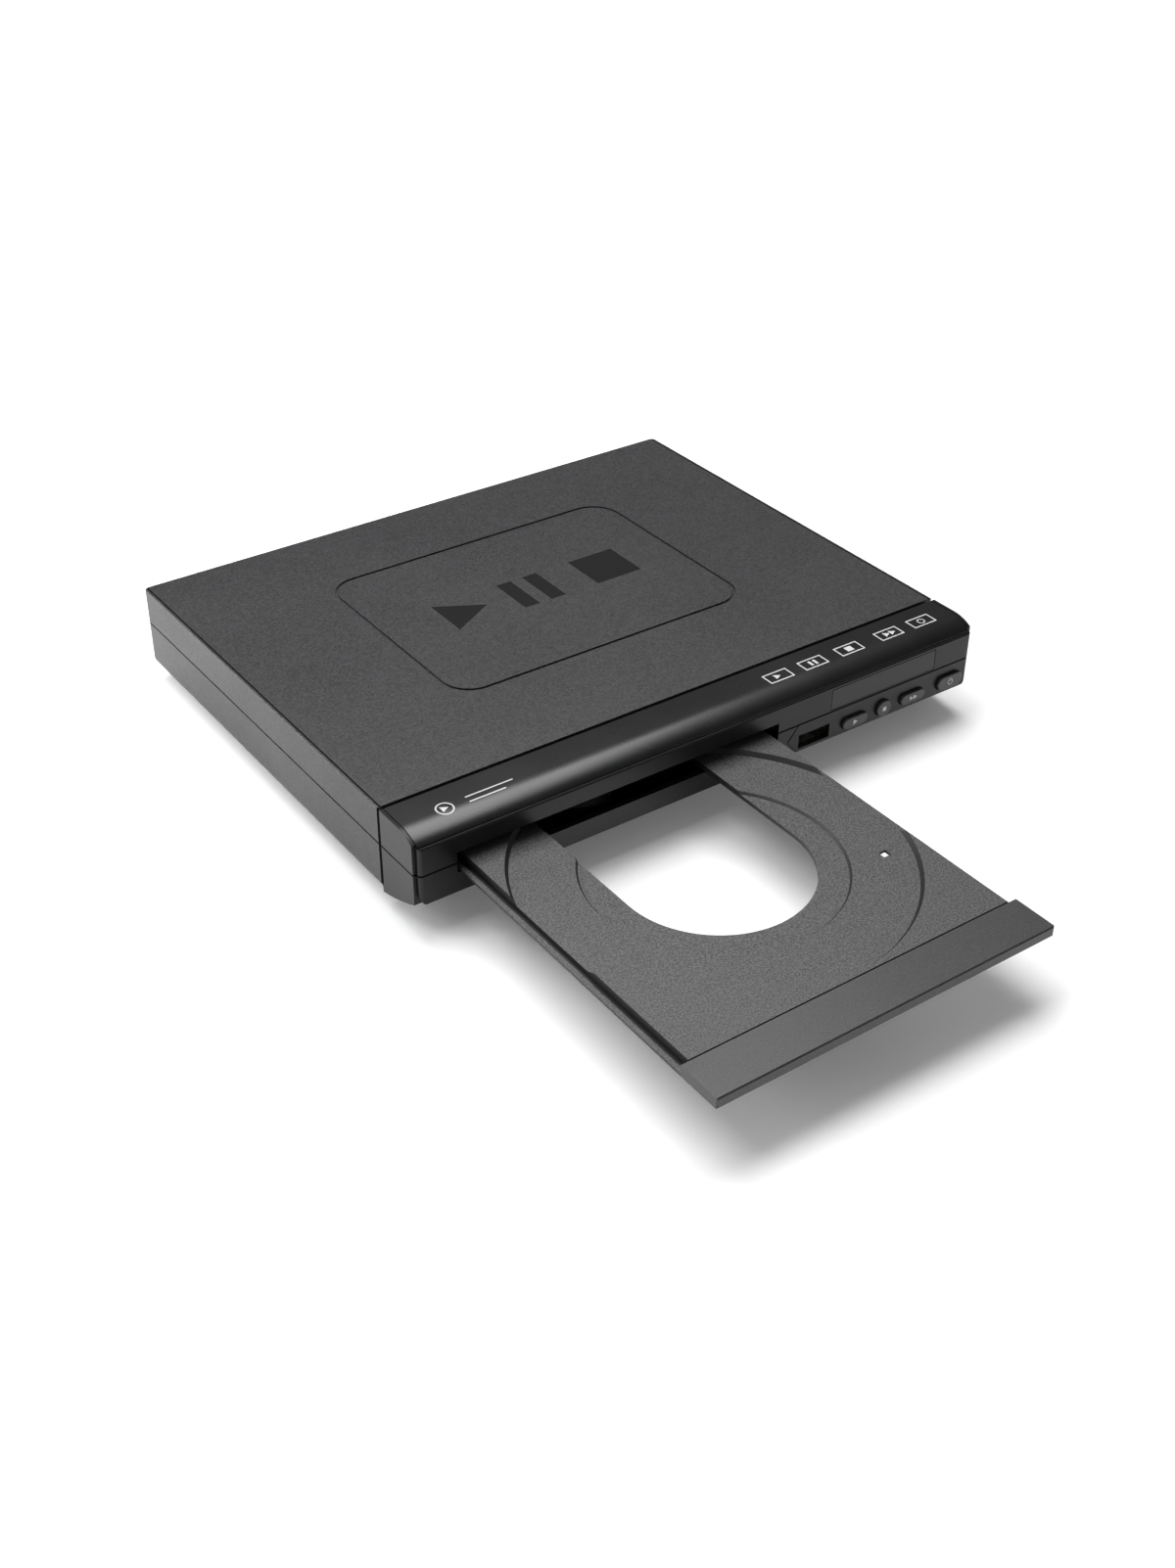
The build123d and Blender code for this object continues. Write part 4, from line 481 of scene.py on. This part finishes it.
# Objective lens: moulded glass whose coating throws back a little violet
lens, tree, place = start_material("coated_lens_glass")
facet = add_node(tree, "ShaderNodeLayerWeight", {"Blend": 0.4})
tones = add_node(tree, "ShaderNodeValToRGB", {"Fac": facet.outputs["Facing"]})
tones.color_ramp.elements[0].color = srgb("#c7d3ee")
tones.color_ramp.elements[1].color = srgb("#5b3fa0")
dust = add_node(tree, "ShaderNodeTexNoise", {"Vector": place, "Scale": 1 / (0.3 * MM)})
haze = add_node(tree, "ShaderNodeMapRange", {"Value": dust.outputs["Fac"], "To Min": 0.02,
                                             "To Max": 0.06})
shader = add_node(tree, "ShaderNodeBsdfPrincipled", {"Base Color": tones.outputs["Color"],
                                                     "Roughness": haze.outputs["Result"],
                                                     "Transmission Weight": 0.8, "IOR": 1.55})
end_material(tree, shader)
finish_node(lens, "objective_lens")

# %% [markdown]
# ## Trimmed copies
#
# Some forms of the real player are finer than its CAD parts: the open gap between the front and
# the case, the sunk rails and the channels beside the tray, which painted shade colours black,
# and the front's rounded lower corners. A CAD mesh is left as it is, so each form is cut from a
# copy that stands in for the part. Every cut only takes plastic away, so a copy never leaves its
# CAD part's outline.

# %% Cutting tools
def prism(outline, along):
    """A closed bar: an outline of (across, up) points, run from one depth to another, in mm."""
    tool = bmesh.new()
    near, far = [[tool.verts.new(at(x, depth, z)) for x, z in outline] for depth in along]
    tool.faces.new(near)
    tool.faces.new(far[::-1])
    for i, point in enumerate(near):
        tool.faces.new((point, near[i - 1], far[i - 1], far[i]))
    bmesh.ops.recalc_face_normals(tool, faces=tool.faces)
    mesh = bpy.data.meshes.new("cutting_tool")
    tool.to_mesh(mesh)
    tool.free()
    cutter = bpy.data.objects.new("cutting_tool", mesh)
    bpy.context.scene.collection.objects.link(cutter)
    return cutter


def block(across, along, heights):
    """A box from its ends across, behind the front face, and up, in millimetres."""
    (left, right), (low, high) = across, heights
    return prism([(left, low), (right, low), (right, high), (left, high)], along)


def trimmed_copy(node, tools, body):
    """A copy of a CAD part with the tools cut away, in the part's place."""
    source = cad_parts[node]
    piece = bpy.data.objects.new(node + "_trimmed", source.data.copy())
    piece.data.transform(source.matrix_world)
    bpy.context.scene.collection.objects.link(piece)
    if "custom_normal" in piece.data.attributes:
        piece.data.attributes.remove(piece.data.attributes["custom_normal"])
    welded = bmesh.new()
    welded.from_mesh(piece.data)
    bmesh.ops.remove_doubles(welded, verts=welded.verts, dist=1e-6)
    welded.to_mesh(piece.data)
    welded.free()
    joined = bmesh.new()
    for tool in tools:
        joined.from_mesh(tool.data)
    joined.to_mesh(tools[0].data)
    joined.free()
    cut = piece.modifiers.new("cut", "BOOLEAN")
    cut.operation, cut.solver, cut.object = "DIFFERENCE", "EXACT", tools[0]
    cut.use_self = True  # the tools touch one another
    shape = bpy.context.evaluated_depsgraph_get()
    shape.update()
    mesh = bpy.data.meshes.new_from_object(piece.evaluated_get(shape))
    piece.modifiers.clear()
    piece.data = mesh
    triangles = bmesh.new()
    triangles.from_mesh(mesh)
    bmesh.ops.triangulate(triangles, faces=triangles.faces)
    triangles.to_mesh(mesh)
    triangles.free()
    mesh.set_sharp_from_angle(angle=radians(30))
    for tool in tools:
        bpy.data.objects.remove(tool)
    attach(piece, body)
    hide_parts(node)
    areas = [sum(face.area for face in m.polygons) * 1e4 for m in (source.data, mesh)]
    print(piece.name, "has", len(mesh.polygons), "faces; area in cm2 was and is",
          [round(area, 1) for area in areas])


# %% Tray with sunk rails, and channels that painted shade colours black
TRAY_X = -36.5
TRAY_HALF = 58.2
RAIL_HALF = 61.2
RAIL_Z = 20.8
ABOVE_RIM = 24.0
CHANNEL_WIDE = 1.2
CHANNEL_Z = 20.4


def beside_tray(side, near, far, along, heights):
    """A box whose ends across are measured from the tray's own centre line."""
    return block((TRAY_X + side * near, TRAY_X + side * far), along, heights)


rails = [beside_tray(side, TRAY_HALF, RAIL_HALF, (-108, 62), (RAIL_Z, ABOVE_RIM))
         for side in (-1, 1)]
channels = [beside_tray(side, TRAY_HALF, TRAY_HALF + CHANNEL_WIDE, (-106, 48.8),
                        (CHANNEL_Z, RAIL_Z)) for side in (-1, 1)]
door_gap = beside_tray(1, -TRAY_HALF, TRAY_HALF, (-107.6, -106.7), (21.4, ABOVE_RIM))
trimmed_copy("disc_tray", [*rails, *channels, door_gap], "tray")

# %% Open gap behind the front
BEYOND = 113            # past the case's sides
WALL_INSIDE = 110.45    # within the side walls, outside the front's tongues
CASE_CUT = (21.2, 21.75)
FRONT_CUT = (20.25, 20.9)
CAP_UNDER = 33.95

gap_top = block((-BEYOND, BEYOND), CASE_CUT, (23.1, 37))
trimmed_copy("top_cover", [gap_top], "case")
gap_walls = [block((WALL_INSIDE * side, BEYOND * side), CASE_CUT, (8, 23)) for side in (-1, 1)]
trimmed_copy("bottom_shell", gap_walls, "case")


def back_edge_top():
    """A thin bar that shortens the front's back edge on its top."""
    return [block((-BEYOND, BEYOND), FRONT_CUT, (CAP_UNDER, 37))]


def back_edge_sides():
    """Thin bars that shorten the front's back edge on both sides."""
    return [block((WALL_INSIDE * side, BEYOND * side), FRONT_CUT, (8, 33.9)) for side in (-1, 1)]


trimmed_copy("upper_front", back_edge_top() + back_edge_sides(), "case")
trimmed_copy("gloss_strip", back_edge_top(), "case")

# %% Rounded lower corners of the front
ROUND = 4.0
ROUND_X, ROUND_Z = 107.3, 15.6    # middle of the rounding, on either side
ARC_STEPS = 8


def corner_tool(side):
    """A bar with the plastic that lies outside one rounded corner."""
    turns = [i * pi / (2 * ARC_STEPS) for i in range(ARC_STEPS + 1)]
    arc = [(side * (ROUND_X + ROUND * cos(turn)), ROUND_Z - ROUND * sin(turn)) for turn in turns]
    outside, below = side * 111.9, 11.0
    return prism([(outside, ROUND_Z), *arc, (side * ROUND_X, below), (outside, below)], (-1, 2.0))


corners = [corner_tool(side) for side in (-1, 1)]
trimmed_copy("lower_front", back_edge_sides() + corners, "case")

# %% [markdown]
# ## Printed marks
#
# Pad printing lays a film of ink on finished plastic. The cap carries small white symbols, and
# the cover a dark row of them. Each mark is a flat outline that is laid on its surface a few
# hundredths of a millimetre proud. The signs are the plain ones that every player uses.

# %% Ink
def ink(name, colour, rough=0.5):
    """Printing ink: a flat colour with the mottle and slight dullness of a thin film."""
    material, tree, place = start_material(name)
    mottle = add_node(tree, "ShaderNodeTexNoise", {"Vector": place, "Scale": 1 / (0.3 * MM)})
    coat = Vector(srgb(colour)[:3])
    tones = add_node(tree, "ShaderNodeValToRGB", {"Fac": mottle.outputs["Fac"]})
    tones.color_ramp.elements[0].color = (*(coat * 0.85), 1)
    tones.color_ramp.elements[1].color = (*coat, 1)
    shader = add_node(tree, "ShaderNodeBsdfPrincipled", {"Base Color": tones.outputs["Color"],
                                                         "Roughness": rough, "IOR": 1.3})
    end_material(tree, shader)
    return material


TOP_Z = 36.0
ROLL_R = 15.25       # radius of the cap's rolled front
ROLL_DEPTH = 10      # where the roll meets the flat top
INK_MM = 0.03        # how far ink stands proud


def cap_height(depth):
    """Height of the front's rolled cap at a depth, in millimetres."""
    if depth >= ROLL_DEPTH:
        return TOP_Z
    return TOP_Z - ROLL_R + sqrt(ROLL_R ** 2 - (ROLL_DEPTH - depth) ** 2)


def printed(name, outlines, surface, material, body="case"):
    """Flat marks. surface turns each outline's (u, v), in millimetres, into a point."""
    mesh = bmesh.new()
    for outline in outlines:
        face = mesh.faces.new([mesh.verts.new(surface(u, v)) for u, v in outline])
        bmesh.ops.triangulate(mesh, faces=[face])
    data = bpy.data.meshes.new(name)
    mesh.to_mesh(data)
    mesh.free()
    data.materials.append(material)
    marks = bpy.data.objects.new(name, data)
    bpy.context.scene.collection.objects.link(marks)
    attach(marks, body)
    print(name, "has", len(outlines), "outlines")


def bar(left, right, low, high):
    """A rectangle's corners, anticlockwise."""
    return [(left, low), (right, low), (right, high), (left, high)]


def ring(middle, radius, width, steps=32):
    """A ring as a row of four-cornered outlines."""
    spokes = [(cos(2 * pi * i / steps), sin(2 * pi * i / steps)) for i in range(steps + 1)]
    u, v = middle
    return [[(u + r * c, v + r * s) for r, (c, s) in
             ((radius - width, a), (radius, a), (radius, b), (radius - width, b))]
            for a, b in zip(spokes, spokes[1:])]


def play_sign(left, low, size):
    """A triangle that points right."""
    return [(left, low), (left + size * 0.9, low + size / 2), (left, low + size)]


# %% Marks on the cap and the cover
white_ink = ink("white_pad_printing_ink", "#c9c9c9")
dark_ink_and_recess_shade = ink("dark_printing_ink_and_painted_recess_shade", "#050506", 0.7)
# The dark ink also serves as painted shade in the screw recesses, further down.


def on_cap(u, v):
    """A point on the cap, u across and v behind the front face."""
    return at(u, v, cap_height(v) + INK_MM)


emblem = ring((-96, 10), 3.0, 0.5) + [play_sign(-97.2, 8.6, 2.8)]
lines = [bar(-88, -71, 11.2, 11.7), bar(-88, -75, 8.6, 9.1)]
FRAME_WIDE = 10
FRAME_LINE = 0.5
signs = []
for left in (29, 44, 60, 78, 93):
    right = left + FRAME_WIDE
    signs += [bar(left, right, 9.0, 9.0 + FRAME_LINE), bar(left, right, 14.0, 14.0 + FRAME_LINE),
              bar(left, left + FRAME_LINE, 9.5, 14.0), bar(right - FRAME_LINE, right, 9.5, 14.0)]
signs += [play_sign(32.5, 10.4, 2.7), bar(47.5, 48.5, 10.4, 13.1), bar(49.5, 50.5, 10.4, 13.1),
          bar(63.6, 66.4, 10.4, 13.1), play_sign(81.0, 10.4, 2.7), play_sign(83.6, 10.4, 2.7)]
signs += ring((98, 11.7), 1.5, 0.4, 16)
printed("cap_marks", emblem + lines + signs, on_cap, white_ink)


def on_cover(u, v):
    """A point on the cover's top. Its ink is thinner than the cap's."""
    return at(u, v, TOP_Z + 0.02)


row = [play_sign(-36, 97, 19), bar(-9, -3, 97, 116), bar(2, 8, 97, 116), bar(22, 41, 97, 116)]
printed("cover_marks", row, on_cover, dark_ink_and_recess_shade)

# %% Marks on the buttons
def on_button(name):
    """A surface for marks on a button's front, which stands a little proud of the face."""
    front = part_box(name)[0].y
    return lambda u, v: Vector((u * MM, front - INK_MM * MM, v * MM))


printed("play_mark", [play_sign(57.6, 15.1, 2.0)], on_button("play_button"), white_ink,
        "play_button")
printed("stop_mark", [bar(70.9, 72.5, 15.6, 17.2)], on_button("stop_button"), white_ink,
        "stop_button")
printed("skip_mark", [play_sign(83.4, 15.4, 1.8), play_sign(85.1, 15.4, 1.8)],
        on_button("skip_button"), white_ink, "skip_button")
printed("power_mark", ring((102.4, 16.6), 1.2, 0.3, 20) + [bar(102.25, 102.55, 16.8, 18.2)],
        on_button("power_button"), white_ink, "power_button")

# %% [markdown]
# ## Repeated fittings
#
# Each foot has two raised rings round it, and each case screw gets a dark cross of painted
# shade for the shade in its cross recess. Geometry Nodes suits such repeats: one small piece is
# made, and a node tree sets it at every spot, so that one number changes them all.

# %% A node tree that sets a piece at every spot
def repeat_tree():
    """Geometry Nodes: instances of a piece on points, at a size, made real and given a finish."""
    tree = bpy.data.node_groups.new("set_at_spots", "GeometryNodeTree")
    for label, kind in (("Spots", "NodeSocketGeometry"), ("Piece", "NodeSocketObject"),
                        ("Size", "NodeSocketFloat"), ("Turn spread", "NodeSocketFloat"),
                        ("Seed", "NodeSocketInt"), ("Finish", "NodeSocketMaterial")):
        tree.interface.new_socket(label, in_out="INPUT", socket_type=kind)
    tree.interface.new_socket("Geometry", in_out="OUTPUT", socket_type="NodeSocketGeometry")
    given = add_node(tree, "NodeGroupInput").outputs
    shown = add_node(tree, "GeometryNodeObjectInfo", {"Object": given["Piece"]})
    turn = add_node(tree, "FunctionNodeRandomValue", {2: 0.0, 3: given["Turn spread"],
                                                      "Seed": given["Seed"]})
    about_z = add_node(tree, "ShaderNodeCombineXYZ", {"Z": turn.outputs[1]})
    copies = add_node(tree, "GeometryNodeInstanceOnPoints",
                      {"Points": given["Spots"], "Instance": shown.outputs["Geometry"],
                       "Rotation": about_z.outputs[0], "Scale": given["Size"]})
    real = add_node(tree, "GeometryNodeRealizeInstances", {0: copies.outputs[0]})
    finish = add_node(tree, "GeometryNodeSetMaterial", {"Geometry": real.outputs[0],
                                                        "Material": given["Finish"]})
    add_node(tree, "NodeGroupOutput", {0: finish.outputs[0]})
    return tree


SET_AT_SPOTS = repeat_tree()


def repeated(name, spots, piece, material, body="case", turn_spread=0.0):
    """Sets a piece at every spot and keeps the result as one plain mesh."""
    mesh = bpy.data.meshes.new(name)
    mesh.from_pydata(spots, [], [])
    made = bpy.data.objects.new(name, mesh)
    bpy.context.scene.collection.objects.link(made)
    nodes = made.modifiers.new("set_at_spots", "NODES")
    nodes.node_group = SET_AT_SPOTS
    values = {"Piece": piece, "Size": 1.0, "Turn spread": turn_spread, "Seed": 7,
              "Finish": material}
    for item in SET_AT_SPOTS.interface.items_tree:
        if item.name in values and item.in_out == "INPUT":
            nodes[item.identifier] = values[item.name]
    made.update_tag()
    shape = bpy.context.evaluated_depsgraph_get()
    shape.update()
    plain = bpy.data.meshes.new_from_object(made.evaluated_get(shape))
    made.modifiers.clear()
    made.data = plain
    bpy.data.objects.remove(piece)
    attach(made, body)
    print(name, "has", len(spots), "copies and", len(plain.polygons), "faces")


# %% Foot rings, painted shade in the screw recesses
def small_piece(name, build):
    """An object whose mesh a bmesh function builds about the origin."""
    mesh = bmesh.new()
    build(mesh)
    data = bpy.data.meshes.new(name)
    bmesh.ops.recalc_face_normals(mesh, faces=mesh.faces)
    mesh.to_mesh(data)
    mesh.free()
    small = bpy.data.objects.new(name, data)
    bpy.context.scene.collection.objects.link(small)
    return small


def torus(mesh, radius=6.45 * MM, tube=0.2 * MM, steps=48, sides=8):
    """A ring of round section."""
    loops = []
    for i in range(steps):
        around = 2 * pi * i / steps
        loops.append([mesh.verts.new(((radius + tube * cos(2 * pi * j / sides)) * cos(around),
                                      (radius + tube * cos(2 * pi * j / sides)) * sin(around),
                                      tube * sin(2 * pi * j / sides))) for j in range(sides)])
    for a, b in zip(loops, loops[1:] + loops[:1]):
        for j in range(sides):
            mesh.faces.new((a[j - 1], a[j], b[j], b[j - 1]))


def cross(mesh, reach=1.4 * MM, half=0.25 * MM, thick=0.05 * MM):
    """Painted shade for a screw's cross recess: two thin dark crossed bars on the head."""
    for wide, deep in ((reach, half), (half, reach)):
        bmesh.ops.create_cube(mesh, size=2, matrix=Matrix.Diagonal((wide, deep, thick, 1)))


FOOT_X, FOOT_DEPTHS, RING_HEIGHTS = 92, (38, 168), (1.0, 2.0)
SCREW_X, SCREW_DEPTHS, SCREW_HEAD_Z = 106, (30, 177), 7.4

feet = [at(side * FOOT_X, depth, z)
        for side in (-1, 1) for depth in FOOT_DEPTHS for z in RING_HEIGHTS]
repeated("foot_rings", feet, small_piece("foot_ring", torus), rubber)
screws = [at(side * SCREW_X, depth, SCREW_HEAD_Z) for side in (-1, 1) for depth in SCREW_DEPTHS]
# Painted shade: dark crossed bars stand for the shade inside each screw's cross recess.
repeated("screw_crosses", screws, small_piece("screw_cross", cross), dark_ink_and_recess_shade,
         turn_spread=1.4)
